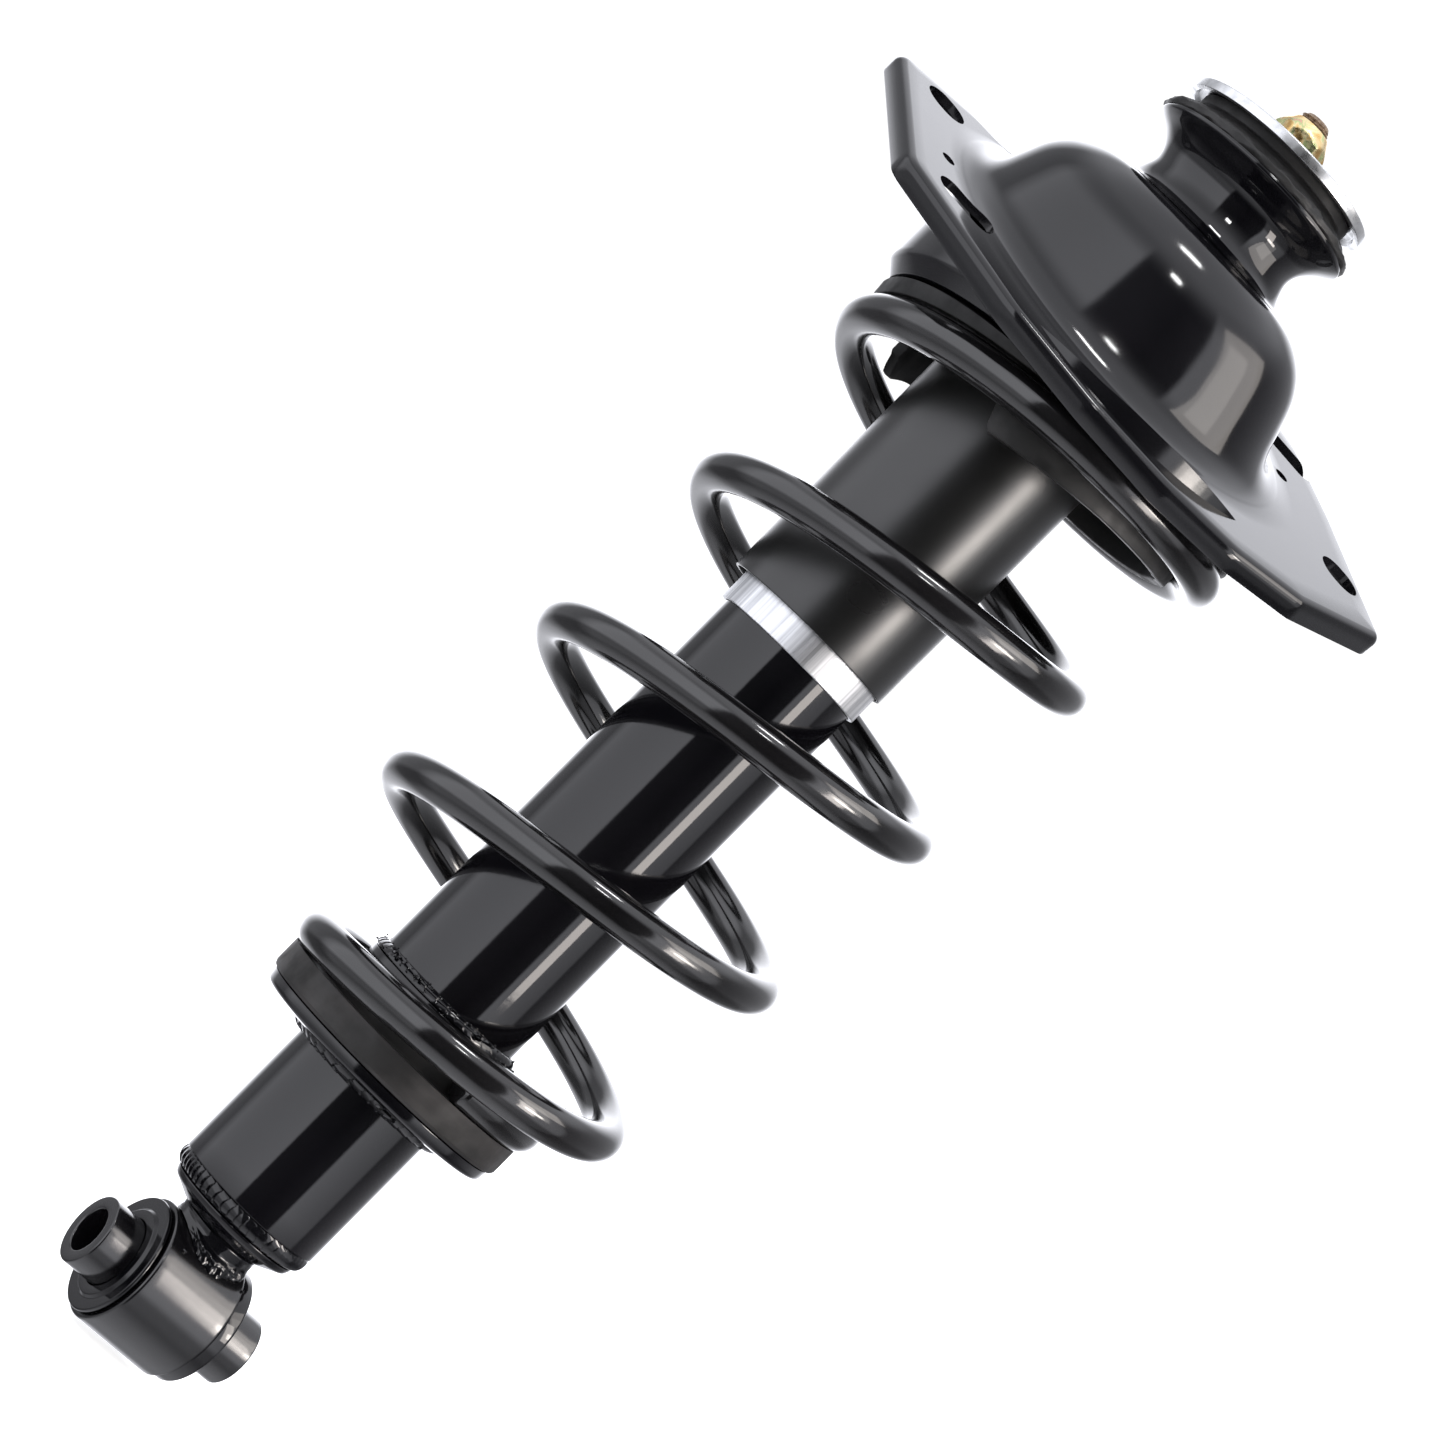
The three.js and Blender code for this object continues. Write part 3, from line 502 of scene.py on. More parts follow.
def mount_plate():
    """Stamped flange, its turned-down rim and the dome drawn up from it, as one sheet."""
    count = 520
    outline = flange_outline(count)
    start = inset(outline, RIM_BEND)
    start_xyz = flange_to_mount(np.column_stack([start, np.zeros(count)]))
    turn = np.arctan2(start_xyz[:, 1] / DOME_DEPTH, start_xyz[:, 0])
    room = np.hypot(start_xyz[:, 0], start_xyz[:, 1] / DOME_DEPTH)

    def dome_row(ring, drop=0.0):
        radius, height, share, depth = ring
        squeeze = np.minimum(1, (room - DOME_FIRM_R) / (DOME_ROOM_R - DOME_FIRM_R))
        squeezed = DOME_FIRM_R + (radius - DOME_FIRM_R) * squeeze
        radius = np.where(radius > DOME_FIRM_R, squeezed, radius)
        x, y = radius * np.cos(turn), radius * depth * np.sin(turn)
        return np.stack([x, y, height - drop + share * flange_rise(x, y)], -1)

    top_rings = curved(DOME_RINGS, 5)
    slope = np.gradient(top_rings[:, :2], axis=0)
    slope /= np.hypot(*slope.T)[:, None]
    under_rings = top_rings.copy()
    under_rings[:, 0] += slope[:, 1] * FLANGE_THICK
    under_rings[:, 1] -= slope[:, 0] * FLANGE_THICK
    rows = [dome_row(ring) for ring in top_rings]
    flat_from = rows[-1]
    rows += [flat_from + (start_xyz - flat_from) * k / 5 for k in range(1, 6)]

    def rim_row(distance, height):
        line = inset(outline, distance)
        return flange_to_mount(np.column_stack([line, np.full(count, height)]))

    for k in range(1, 9):
        bend = math.pi / 2 * k / 8
        rows.append(rim_row(RIM_BEND * (1 - math.sin(bend)), -RIM_BEND * (1 - math.cos(bend))))
    edge = 0.9
    lower_edge = [(0, edge), (0.25, 0.3), (edge, 0)]
    rows += [rim_row(across, up - RIM_DEPTH) for across, up in lower_edge]
    rows += [rim_row(FLANGE_THICK - across, up - RIM_DEPTH) for across, up in lower_edge[::-1]]
    rows += [rim_row(FLANGE_THICK + across, -FLANGE_THICK - down)
             for across, down in [(0, 1), (0.3, 0.3), (1, 0)]]
    under_edge = rows[-1]
    under_dome = dome_row(under_rings[-1])
    rows += [under_edge + (under_dome - under_edge) * k / 5 for k in range(1, 5)]
    rows += [dome_row(ring) for ring in under_rings[::-1]]
    return np.vstack(rows), grid_faces(len(rows), count)


def hole_tool(u, v, length, width):
    """A slot-shaped prism through the flange."""
    half = max(length - width, 0) / 2
    ring_points = 48
    below, above = -14, 10
    line = []
    for k in range(ring_points):
        turn = 2 * math.pi * k / ring_points
        shift = half if math.cos(turn) >= 0 else -half
        line.append((u + shift + width / 2 * math.cos(turn), v + width / 2 * math.sin(turn)))
    low = flange_to_mount([(a, b, below) for a, b in line])
    high = flange_to_mount([(a, b, above) for a, b in line])
    sides = grid_faces(2, ring_points, wrap_rows=False)
    caps = [tuple(range(ring_points)), tuple(range(ring_points, 2 * ring_points))[::-1]]
    return np.vstack([low, high]), sides + caps


def cut_holes(piece, tools):
    """Cuts the tools out of the piece."""
    cutter = mesh_object("cutter", *merged(*tools))
    tidy(cutter)
    cut = piece.modifiers.new("holes", "BOOLEAN")
    cut.object = cutter
    cut.solver = "EXACT"
    apply_modifiers(piece)
    bpy.data.objects.remove(cutter)


def apply_modifiers(piece):
    """Replaces the mesh by what its modifiers make of it."""
    graph = bpy.context.evaluated_depsgraph_get()
    result = bpy.data.meshes.new_from_object(piece.evaluated_get(graph))
    piece.modifiers.clear()
    piece.data = result


def build_mount_plate():
    """The stamped sheet with its bolt holes, slots and pilot holes."""
    piece = mesh_object("stamped_mount", *mount_plate())
    tidy(piece)
    cut_holes(piece, [hole_tool(*hole) for hole in BOLT_HOLES])
    finish_piece(piece, "upper_mount", PRESSED, ["mount_plate"])


def neck_cup():
    """Waisted cup that stands on the dome and opens to a lip under the bush."""
    outer = curved([(36.2, 37.2), (33.6, 38.6), (31.2, 41.6), (29.6, 46.4), (30.6, 51), (34, 55.2),
                    (38.2, 58.2), (39.6, 59.4), (39.5, 60.6)])
    inner = curved([(37.4, 60.6), (33, 57.6), (28.6, 52.6), (27.2, 46.4), (28.2, 41), (29.4, 37.4),
                    (29.4, 30.5)])
    foot = np.array([(31.3, 30.5), (31.5, 37.0)])

    def lean(radius, height, around):
        share = 0.3 * (1 - ease(height, 38, 48))
        rise = flange_rise(radius * np.cos(around), radius * np.sin(around))
        return radius, height + share * rise

    return revolved(finer(np.vstack([outer, inner, foot]), 1.5), FINE, lean)


def bush_bead():
    """Rubber bush whose bead was squeezed out over the neck's lip."""
    outline = filleted([
        (8.6, 53.2), (27, 53.2, 1), (31.4, 58.4, 1), (36.6, 61.2, 0.6), (39.2, 60.5, 0.6),
        (40.2, 61.2, 0.8), (39.9, 63.0, 0.8), (33.6, 66.8, 1.0), (32, 68.2, 1.2), (32, 72.2, 0.5),
        (8.6, 72.2),
    ])

    def lumps(radius, height, around):
        """Uneven squeezed rubber, with waves that grow towards the bead's edge."""
        edge = ease(radius, 34, 39) * ease(height, 59, 60.5) * (1 - ease(height, 66, 68))
        wave = np.zeros_like(radius)
        for index in np.argwhere(edge > 0):
            i, j = index
            turn, z = around[i, j], height[i, j]
            spot = Vector((math.cos(turn) * 5, math.sin(turn) * 5, z * 0.35))
            wave[i, j] = noise.noise(spot) + 0.5 * noise.noise(spot * 2.7)
        return radius + edge * wave * 0.8, height + edge * wave * 0.7

    return revolved(finer(outline, 1.0), FINE, lumps)


def cup_washer():
    """Flat washer with a short rim turned down over the bush."""
    return revolved(filleted([
        (6.1, 72.6), (34.4, 72.6, 0.8), (35.4, 71.0, 0.4), (37.5, 71.0, 0.3), (37.5, 74.6, 0.7),
        (6.1, 74.6),
    ]), FINE)


def hex_radius(turn, flat):
    """Distance from the axis to a hexagon whose flats are at a distance flat."""
    sector = math.pi / 3
    local = (turn + sector / 2) % sector - sector / 2
    return flat / np.cos(local)


def flange_nut():
    """Hexagon nut with a flange and a cone-shaped locking collar."""
    base, top = 74.9, 88.9
    outline = filleted([
        (6.1, base), (12.6, base, 0.4), (12.6, base + 1.2, 0.5), (10.6, base + 2.8, 0.6),
        (10.6, base + 8.4, 0.8), (6.8, top, 0.4), (6.1, top),
    ])

    def hexed(radius, height, around):
        flat = hex_radius(around + math.pi / 6, 9.3)
        in_hex = ease(height, base + 2.2, base + 3.0)
        cut = radius + (np.minimum(radius, flat) - radius) * in_hex
        return np.where(radius > 6.5, cut, radius), height

    return revolved(finer(outline, 0.8), MIDDLE, hexed)


def threaded_rod():
    """Chromed rod with a real thread on the stud that stands out of the nut."""
    pitch = 1.25
    shoulder, top = 22.0, 92.2
    lower = [(0, -206), (3.2, -206), (3.2, -184), (7, -183.4), (7, -176.4), (6.2, -176.2),
             (6.2, -174.4), (7, -174.2), (7, shoulder), (5.8, shoulder)]
    stud = [(5.8, z) for z in np.arange(86.0, top - 1.4, pitch / 10)]
    outline = np.array(lower + stud + [(5.3, top - 1.2), (4.4, top - 0.2), (4, top), (0, top)])

    def thread(radius, height, around):
        phase = (height / pitch - around / (2 * math.pi)) % 1
        cut = (1 - np.abs(2 * phase - 1)) * 0.7
        on_stud = ease(height, 86.2, 86.6) * (1 - ease(height, top - 1.4, top - 0.9))
        return radius - cut * on_stud * (radius > 4.5), height

    return revolved(outline, SMALL, thread)


# ---- coil spring and its seats ------------------------------------------------------

class Coil:
    """Centre line of the wire: closed ends, a small bottom turn, a body on a leaning axis."""

    def __init__(self):
        steps = 400
        angle = SPRING["start"] + (SPRING["end"] - SPRING["start"]) * (np.arange(steps) + 0.5) / steps
        share = ease(angle, 150, 380) * (1 - ease(angle, 1600, 1860))
        self.heights = np.concatenate([[0], np.cumsum(share)]) / share.sum()
        self.places = np.linspace(0, 1, steps + 1)

    def share(self, t):
        return np.interp(t, self.places, self.heights)

    def point(self, t):
        angle = SPRING["start"] + (SPRING["end"] - SPRING["start"]) * t
        opened = SPRING["bottom_r"] + (SPRING["body_r"] - SPRING["bottom_r"]) * ease(angle, 150, 380)
        radius = opened + (SPRING["top_r"] - opened) * ease(angle, 1400, 1640)
        share = self.share(t)
        x, y = radius * np.cos(np.radians(angle)), radius * np.sin(np.radians(angle))
        lean = math.tan(math.radians(SPRING["lean"])) * ease(angle, 150, 380)
        z = SPRING["bottom_z"] + (SPRING["top_z"] - SPRING["bottom_z"]) * share - x * lean
        z = z - SPRING["dip"] * ease(angle, 1765, 1860)
        centre = SPRING["bottom_x"] + (SPRING["top_x"] - SPRING["bottom_x"]) * share
        return np.stack([centre + x, y, z], -1)


coil = Coil()


def build_spring():
    """The wire swept along the coil."""
    stations, sides = 700, 28
    wire = SPRING["wire"]
    t = np.linspace(0, 1, stations)
    centre = coil.point(t)
    along = np.gradient(centre, axis=0)
    along /= np.linalg.norm(along, axis=1)[:, None]
    side = np.cross(along, (0, 0, 1))
    side /= np.linalg.norm(side, axis=1)[:, None]
    up = np.cross(side, along)
    turn = np.arange(sides) * 2 * math.pi / sides
    ring = np.cos(turn)[None, :, None] * side[:, None] + np.sin(turn)[None, :, None] * up[:, None]
    edge, core = 0.9, 0.55     # chamfer of the cut ends, and the inner ring on their faces
    rows = list(centre[:, None] + ring * wire)
    rows[0] = rows[0] + along[0] * edge
    rows[-1] = rows[-1] - along[-1] * edge
    first, last = [[centre[i] + ring[i] * wire * core, centre[i] + ring[i] * (wire - edge)]
                   for i in (0, -1)]
    points = np.vstack(first + rows + last[::-1])
    weights = [coil.share(0.0)] * 2 + list(coil.share(t)) + [coil.share(1.0)] * 2
    faces = grid_faces(len(weights), sides, wrap_rows=False)
    faces.append(tuple(range(sides)))
    faces.append(tuple(range(len(points) - sides, len(points)))[::-1])
    piece = mesh_object("wound_spring", points, faces)
    turn_with_mount(piece)
    piece.data.materials.append(COATED)
    piece.data.shade_smooth()
    piece.data.set_sharp_from_angle(angle=math.radians(50))
    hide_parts("coil_spring")
    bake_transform(piece)


def seat_height(around):
    """Upper side of the top turn's wire by direction in degrees, with a step past its end."""
    def wire_top(angle):
        t = np.minimum((angle - SPRING["start"]) / (SPRING["end"] - SPRING["start"]), 1)
        return coil.point(t)[..., 2] + SPRING["wire"]

    step_from, step_to = 139, 185
    last_turn, turn_before = 1800.0, 1440.0
    before = wire_top(last_turn + np.minimum(around, step_from))
    after = wire_top(turn_before + around)
    step = before + (wire_top(turn_before + step_to) - before) * ease(around, step_from, step_to)
    return np.where(around >= step_to, after, np.where(around <= step_from, before, step))


def ramped(outline, moves_below, pad_above):
    """Turned ring on the spring's axis whose lower side follows the top turn."""

    def follow(radius, height, around):
        turn = np.degrees(around) % 360
        thicker = np.where(height > pad_above, LEFT_PAD * np.maximum(-np.cos(around), 0), 0)
        return radius, np.where(height < moves_below, height + seat_height(turn) + thicker, height)

    return moved(revolved(outline, FINE, follow), (SPRING["top_x"], 0, 0))


def seat_drum():
    """Drum under the flange; its top edge follows the flange's leaning underside."""
    radius, wall, inner, floor = 77.5, 2.5, 54.0, 4.0
    lean = math.radians(24)    # of the flange, by its tilt and roll together
    outline = filleted([
        (inner, floor, 0.4), (radius - 5, floor, 0.5), (radius, floor + 5.4, 4.0), (radius, 30),
        (radius - wall, 30), (radius - wall, floor + 5.8, 2.4), (radius - 6, floor + 2.2, 0.5),
        (inner, floor + 2.2, 0.4),
    ])
    points, faces = ramped(outline, 25, 0)
    high = points[:, 2] > 29.5
    top = flange_rise(points[:, 0], points[:, 1]) - (FLANGE_THICK + 0.4) / math.cos(lean)
    points[high, 2] = top[high]
    return points, faces


def upper_isolator():
    """Pad above the wire, and a lip inside the top turn that is open on the left."""
    outline = filleted([
        (57, 0.7, 0.3), (72.3, 0.7, 0.6), (73.1, 2.2, 0.4), (71.3, 2.9, 0.3), (57, 2.9),
    ])
    first, last, stations = LIP_DEPTH[0][0], LIP_DEPTH[-1][0], 150
    section = filleted([(57.3, 1.4), (57.3, -1.0, 0.8), (61.2, -1.0, 0.8), (61.2, 1.4)], 3)
    rows = []
    for k in range(stations):
        angle = first + (last - first) * k / (stations - 1)
        depth = np.interp(angle, *zip(*LIP_DEPTH))
        depth *= 1 - 0.75 * (1 - float(ease(angle, first, first + 7)))
        depth *= 1 - 0.45 * (1 - float(ease(last - angle, 0, 9))) ** 2
        top = float(seat_height(np.array(angle % 360.0)))
        turn = math.radians(angle)
        pad = LEFT_PAD * max(-math.cos(turn), 0)
        low = section[:, 1] < 1.3
        z = np.where(low, top - depth + section[:, 1], top + section[:, 1] + pad)
        rows.append(np.column_stack([SPRING["top_x"] + section[:, 0] * math.cos(turn),
                                     section[:, 0] * math.sin(turn), z]))
    points, sides = np.vstack(rows), len(section)
    faces = grid_faces(stations, sides, wrap_rows=False)
    faces += [tuple(range(sides)), tuple(range(len(points) - sides, len(points)))[::-1]]
    return merged(ramped(outline, 50, 1.5), (points, faces))


def lower_isolator():
    """Rubber ring on the pan with a collar round the hub, its rim a little worn."""
    low, high = -339.0, -329.3
    outline = filleted([
        (36.4, low + 0.6), (37, low, 0.3), (48.4, low, 0.5), (49, -337.8, 0.4), (49, high + 1, 0.9),
        (48, high, 0.6), (37.2, high, 0.6), (36.2, high + 7.6, 0.8), (33.8, high + 7.6, 0.8),
        (33.8, low + 2.8),
    ])

    def worn(radius, height, around):
        wave = 0.25 * np.sin(3 * around + 0.6) + 0.15 * np.sin(7 * around)
        return radius + wave * ease(radius, 47, 49), height

    return revolved(finer(outline, 1.5), FINE, worn)


# ---- damper body --------------------------------------------------------------------

def dust_tube():
    """Long thin tube that hangs from the mount, hooked inwards at the top."""
    outline = filleted([
        (32.3, -143.6, 0.4), (33, -54), (33, 14, 1.5), (28.8, 14), (28.8, 12.6), (31.9, 12.6),
        (31.9, -54), (31.2, -143.6, 0.4),
    ])
    return moved(revolved(finer(outline, 8), FINE), (-1.2, 0, 0))


def striker_cap():
    """Bright cap pressed over the top of the damper's tube."""
    return revolved(finer(filleted([
        (8.2, -134.4, 0.4), (29.3, -134.4, 2.0), (29.3, -154, 0.4), (27.8, -154), (27.8, -136.2),
        (8.2, -136.2),
    ]), 4), FINE)


def outer_tube():
    """Damper tube, rolled over at the top."""
    outline = filleted([
        (27.5, -399.3, 0.4), (27.5, -137.5, 1.2), (26.4, -136.5, 0.6), (19, -136.5), (19, -138.5),
        (25.5, -138.5), (25.5, -399.3),
    ])
    return revolved(finer(outline, 10), FINE)


def bead(radius_low, z_low, radius_high, z_high, thick, ripples, seed, segments=480):
    """A weld bead between two circles, built up in overlapping ripples."""
    rng = random.Random(seed)
    phases = [rng.uniform(0, 2 * math.pi) for _ in range(4)]
    rows = 14
    points = []
    axis = np.array([radius_high - radius_low, z_high - z_low])
    out = np.array([-axis[1], axis[0]]) / np.hypot(*axis)
    if out[0] < 0:
        out = -out
    for i in range(rows):
        t = i / (rows - 1)
        for j in range(segments):
            turn = 2 * math.pi * j / segments
            crescent = turn * ripples / (2 * math.pi) + 0.35 * math.sin(math.pi * t)
            crescent += 0.25 * math.sin(3 * turn + phases[0]) + 0.2 * math.sin(7 * turn + phases[1])
            scallop = 0.4 + 0.6 * (crescent % 1) ** 0.7
            wander = 0.12 * math.sin(5 * turn + phases[2]) + 0.1 * math.sin(11 * turn + phases[3])
            height = thick * (math.sin(math.pi * t) ** 0.55) * (scallop + wander)
            r, z = np.array([radius_low, z_low]) + axis * t + out * height
            points.append((r * math.cos(turn), r * math.sin(turn), z))
    inner = [(radius_high - 1.2, z_high), (radius_low - 1.2, z_low)]
    for r, z in inner:
        for j in range(segments):
            turn = 2 * math.pi * j / segments
            points.append((r * math.cos(turn), r * math.sin(turn), z))
    return np.array(points), grid_faces(rows + len(inner), segments)


def spatter(radius, z_low, z_high, count, size, seed):
    """Small drops strewn round a ring."""
    rng = random.Random(seed)
    drops = []
    for k in range(count):
        turn = math.radians(rng.uniform(0, 360))
        r, z = radius + rng.uniform(-0.1, 0.15), rng.uniform(z_low, z_high)
        drops.append(droplet((r * math.cos(turn), r * math.sin(turn), z),
                             size * rng.uniform(0.5, 1.2), seed * 100 + k, rng.uniform(0.6, 1.0)))
    return merged(*drops)


def hub_weld():
    """Weld on the hub's rim, with larger drops in front and fine spatter."""
    ring = bead(30.3, -311.2, 28.0, -307.9, 0.6, 46, 3)
    ends = merged(*(droplet((30.6 * math.cos(turn), 30.6 * math.sin(turn), -308.8), size, k, 0.9)
                    for k, (turn, size) in enumerate([(-1.05, 1.4), (-1.95, 0.9), (-2.4, 0.8)])))
    return merged(ring, ends, spatter(30.7, -311.0, -309.2, 22, 0.5, 5),
                  spatter(29.0, -308.8, -307.6, 30, 0.42, 8))


def pan_weld():
    """Weld under the pan, with larger drops in front."""
    ring = bead(27.9, -348.2, 32.6, -345.0, 1.1, 40, 11)
    front = [droplet((31.2 * math.cos(turn), 31.2 * math.sin(turn), -346.2), size, k + 40, 0.6)
             for k, (turn, size) in enumerate([(-1.2, 2.2), (-1.12, 1.7), (-1.32, 1.5)])]
    return merged(ring, spatter(30.6, -347.2, -346, 16, 0.9, 12), *front)


def base_weld():
    """Rippled weld that joins the base cap to the tube."""
    core = revolved(filleted([(20, -405.4), (25.0, -405.4), (26.6, -399.6), (20, -399.6)]), FINE)
    return merged(core, bead(25.0, -405.4, 26.7, -399.5, 1.35, 54, 21, 900))


def lower_seat():
    """Pan for the bottom coil with its hub round the tube."""
    return revolved(finer(filleted([
        (27.8, -344.6), (42, -344.6, 2), (47.2, -343.6, 2.2), (47.5, -339.3, 0.6), (36, -339.3, 2),
        (31.4, -336.8, 2.5), (30, -330, 4), (30, -311.6, 0.8), (27.8, -311.6),
    ]), 3), FINE)


def base_cap():
    """Cap that closes the tube's foot."""
    return revolved(filleted([
        (0, -395.6), (10, -395.6, 1), (19.7, -398.6, 1), (19.7, -405.7), (25.2, -405.7, 0.6),
        (24.2, -408.2, 2.2), (17.6, -411.6, 1.2), (0, -411.6),
    ]), FINE)


def eye_stem():
    """Neck between the base cap and the eye, saddled onto the eye's ring, with a lumpy weld."""
    segments, rows = 192, 40
    top, clear = -411.9, 23.8
    front = math.radians(MOUNT_CLOCKING - 65)
    points = []
    for i in range(rows):
        t = i / (rows - 1)
        for j in range(segments):
            turn = 2 * math.pi * j / segments
            across, along = math.cos(turn), math.sin(turn)
            waist = 15.7 - 0.5 * math.sin(math.pi * t) - 0.9 * float(ease(0.14 - t, 0, 0.14))
            lump = noise.noise(Vector((across * 3, along * 3, t * 3 + 4)))
            near = float(ease(math.cos(turn - front), 0.45, 0.85))
            foot = float(ease(t, 0.52, 0.72))
            blob = noise.noise(Vector((across * 5, along * 5, t * 4 + 1)))
            blob += 0.35 * noise.noise(Vector((across * 12, along * 12, t * 9)))
            r = waist + 0.4 * lump * math.sin(math.pi * t) + near * foot * (1.0 + 1.5 * blob)
            x, y = r * across, r * along
            saddle = EYE_Z + math.sqrt(clear ** 2 - y ** 2)
            points.append((x, y, top + (saddle - top) * t))
    points = np.array(points)
    inner_rows = []
    for scale in (0.75, 0.5, 0.25, 0.0):
        x, y = points[-segments:, 0] * scale, points[-segments:, 1] * scale
        inner_rows.append(np.stack([x, y, EYE_Z + np.sqrt(clear ** 2 - y ** 2)], -1))
    cap_top = [points[:segments] * (scale, scale, 1) for scale in (0.0, 0.5)]
    all_points = np.vstack(cap_top + [points] + inner_rows)
    faces = grid_faces(len(all_points) // segments, segments, wrap_rows=False)
    drops = []
    on_ring = EYE_R + 0.2
    for k, (across, over, size) in enumerate([(-12.4, -44, 0.8), (13.5, -38, 0.6)]):
        lean = math.radians(over)
        centre = (across, on_ring * math.sin(lean), EYE_Z + on_ring * math.cos(lean))
        drops.append(droplet(centre, size, 300 + k, 0.8))
    return merged((all_points, faces), *drops)


def eye_ring():
    """Steel ring of the lower eye."""
    low, high = EYE_RING
    return along_eye(revolved(finer(filleted([
        (20, low, 0.4), (EYE_R, low, 1.1), (EYE_R, high, 1.1), (20, high, 0.4),
    ]), 3), FINE))


def eye_bush():
    """Bush with a wide flange over each end of the ring and a low boss round the sleeve."""
    low, high = EYE_RING
    low_face, high_face = EYE_FLANGES
    return along_eye(revolved(filleted([
        (13.05, low_face - 0.8, 0.3), (16.4, low_face - 0.8, 0.6), (17.4, low_face + 0.2, 0.4),
        (22, low_face, 1.2), (22, low - 0.9, 0.7), (19.7, low - 0.3, 0.3), (19.7, low + 2),
        (19.7, high - 2), (19.7, high + 0.3, 0.3), (22, high + 0.4, 0.3), (22, high_face, 1.2),
        (17.4, high_face - 0.2, 0.4), (16.4, high_face + 0.8, 0.6), (13.05, high_face + 0.8, 0.3),
    ]), FINE))


def eye_sleeve():
    """Inner sleeve that the suspension arm's bolt passes through."""
    half, bore, outer = 33.9, 8.0, 12.75
    return along_eye(revolved(finer(filleted([
        (bore, -half, 0.8), (outer, -half, 0.7), (outer, half, 0.7), (bore, half, 0.8),
    ]), 3), MIDDLE))


MOUNT, DAMPER, LOWER = "upper_mount", "damper_body", "lower_sleeve"
PIECES = [
    ("waisted_neck", neck_cup, MOUNT, "gloss_black_paint", GLOSS, "neck_cup"),
    ("beaded_bush", bush_bead, MOUNT, "black_rubber", RUBBER, "upper_bush"),
    ("cup_washer", cup_washer, MOUNT, "zinc_plate", ZINC, "upper_washer"),
    ("hex_flange_nut", flange_nut, MOUNT, "yellow_zinc", YELLOW, "rod_nut"),
    ("threaded_rod", threaded_rod, MOUNT, "chromed_rod", STUD, "piston_rod"),
    ("seat_drum", seat_drum, MOUNT, "gloss_black_paint", PRESSED, "upper_spring_seat"),
    ("seat_pad", upper_isolator, MOUNT, "black_rubber", RUBBER, "upper_isolator"),
    ("dust_sleeve", dust_tube, MOUNT, "satin_black", SATIN, "dust_tube"),
    ("bright_cap", striker_cap, DAMPER, "zinc_plate", CAP_ZINC, "striker_cap"),
    ("damper_tube", outer_tube, DAMPER, "gloss_black_paint", GLOSS, "outer_tube"),
    ("spring_pan", lower_seat, DAMPER, "gloss_black_paint", GLOSS, "lower_spring_seat"),
    ("hub_bead", hub_weld, DAMPER, "gloss_black_paint", WELDED, "hub_weld"),
    ("pan_bead", pan_weld, DAMPER, "gloss_black_paint", WELDED, "pan_weld"),
    ("coil_pad", lower_isolator, DAMPER, "black_rubber", SEAT_RUBBER, "lower_isolator"),
    ("foot_bead", base_weld, DAMPER, "gloss_black_paint", WELDED, "base_weld"),
    ("domed_base", base_cap, DAMPER, "gloss_black_paint", GLOSS, "base_cap"),
]
EYE_PIECES = [
    ("welded_stem", eye_stem, DAMPER, "gloss_black_paint", WELDED, "eye_stem"),
    ("eye_barrel", eye_ring, DAMPER, "gloss_black_paint", TURNED, "eye_ring"),
    ("flanged_bush", eye_bush, DAMPER, "black_rubber", GLOSS, "eye_bush"),
    ("bolt_sleeve", eye_sleeve, LOWER, "gloss_black_paint", TURNED, "eye_sleeve"),
]

dress_cad_nodes()
build_mount_plate()
build_spring()
for name, shape, body, slot, look, node in PIECES:
    new_piece(name, *shape(), body, slot, look, [node])
for name, shape, body, slot, look, node in EYE_PIECES:
    new_piece(name, *shape(), body, slot, look, [node], turned_with_mount=False)


# ---- stage, light and camera --------------------------------------------------------

def white_floor():
    """A wide white floor just under the eye."""
    size, low = 6000, cad_box[0][2] / MM - 2
    corners = [(-size, -size, low), (size, -size, low), (size, size, low), (-size, size, low)]
    floor = mesh_object("floor", corners, [(0, 1, 2, 3)])
    look = Look("white_floor", specular=0.0)
    look.colour(look.ramp(look.noise(2, 2), [(0.0, (0.9, 0.9, 0.9)), (1.0, (0.93, 0.93, 0.93))]))
    look.shader.inputs["Roughness"].default_value = 1.0
    look.shader.inputs["Emission Color"].default_value = WHITE
    look.shader.inputs["Emission Strength"].default_value = 0.75
    floor.data.materials.append(look.material)
    floor.visible_glossy = False


# Studio walls: degrees right of the camera's direction, brightness.
STUDIO_RING = [
    (-180, 3.6), (-160, 3.0), (-140, 0.5), (-115, 0.6), (-100, 1.8), (-17, 2.4), (-14, 0.1),
    (20, 0.02), (44, 0.1), (47, 2.2), (92, 1.0), (96, 0.25), (150, 0.6), (180, 3.6),
]
# Share of the walls' brightness that is left below the horizon, by height of the direction.
STUDIO_FOOT = [(-1.0, 0.4), (-0.3, 0.4), (-0.14, 1.0), (1.0, 1.0)]
# The ceiling's and the floor's own brightness, by height of the direction.
STUDIO_HEIGHT = [(-1.0, 1.2), (-0.85, 1.0), (-0.6, 0.3), (0.6, 0.7), (0.8, 1.4), (1.0, 1.4)]
STUDIO_TINT = (0.93, 0.94, 1.0)
WHITE = (1, 1, 1, 1)


def brightness_ramp(nodes, links, value, low, high, stops):
    """Cool grey ramp over a value, stops as (value, brightness); returns it and its full scale."""
    share = map_range(nodes, links, value, (low, high, 0, 1)).outputs["Result"]
    scale = max(brightness for _, brightness in stops)
    greys = [((position - low) / (high - low), [brightness / scale * part for part in STUDIO_TINT])
             for position, brightness in stops]
    return color_ramp(nodes, links, share, greys), scale


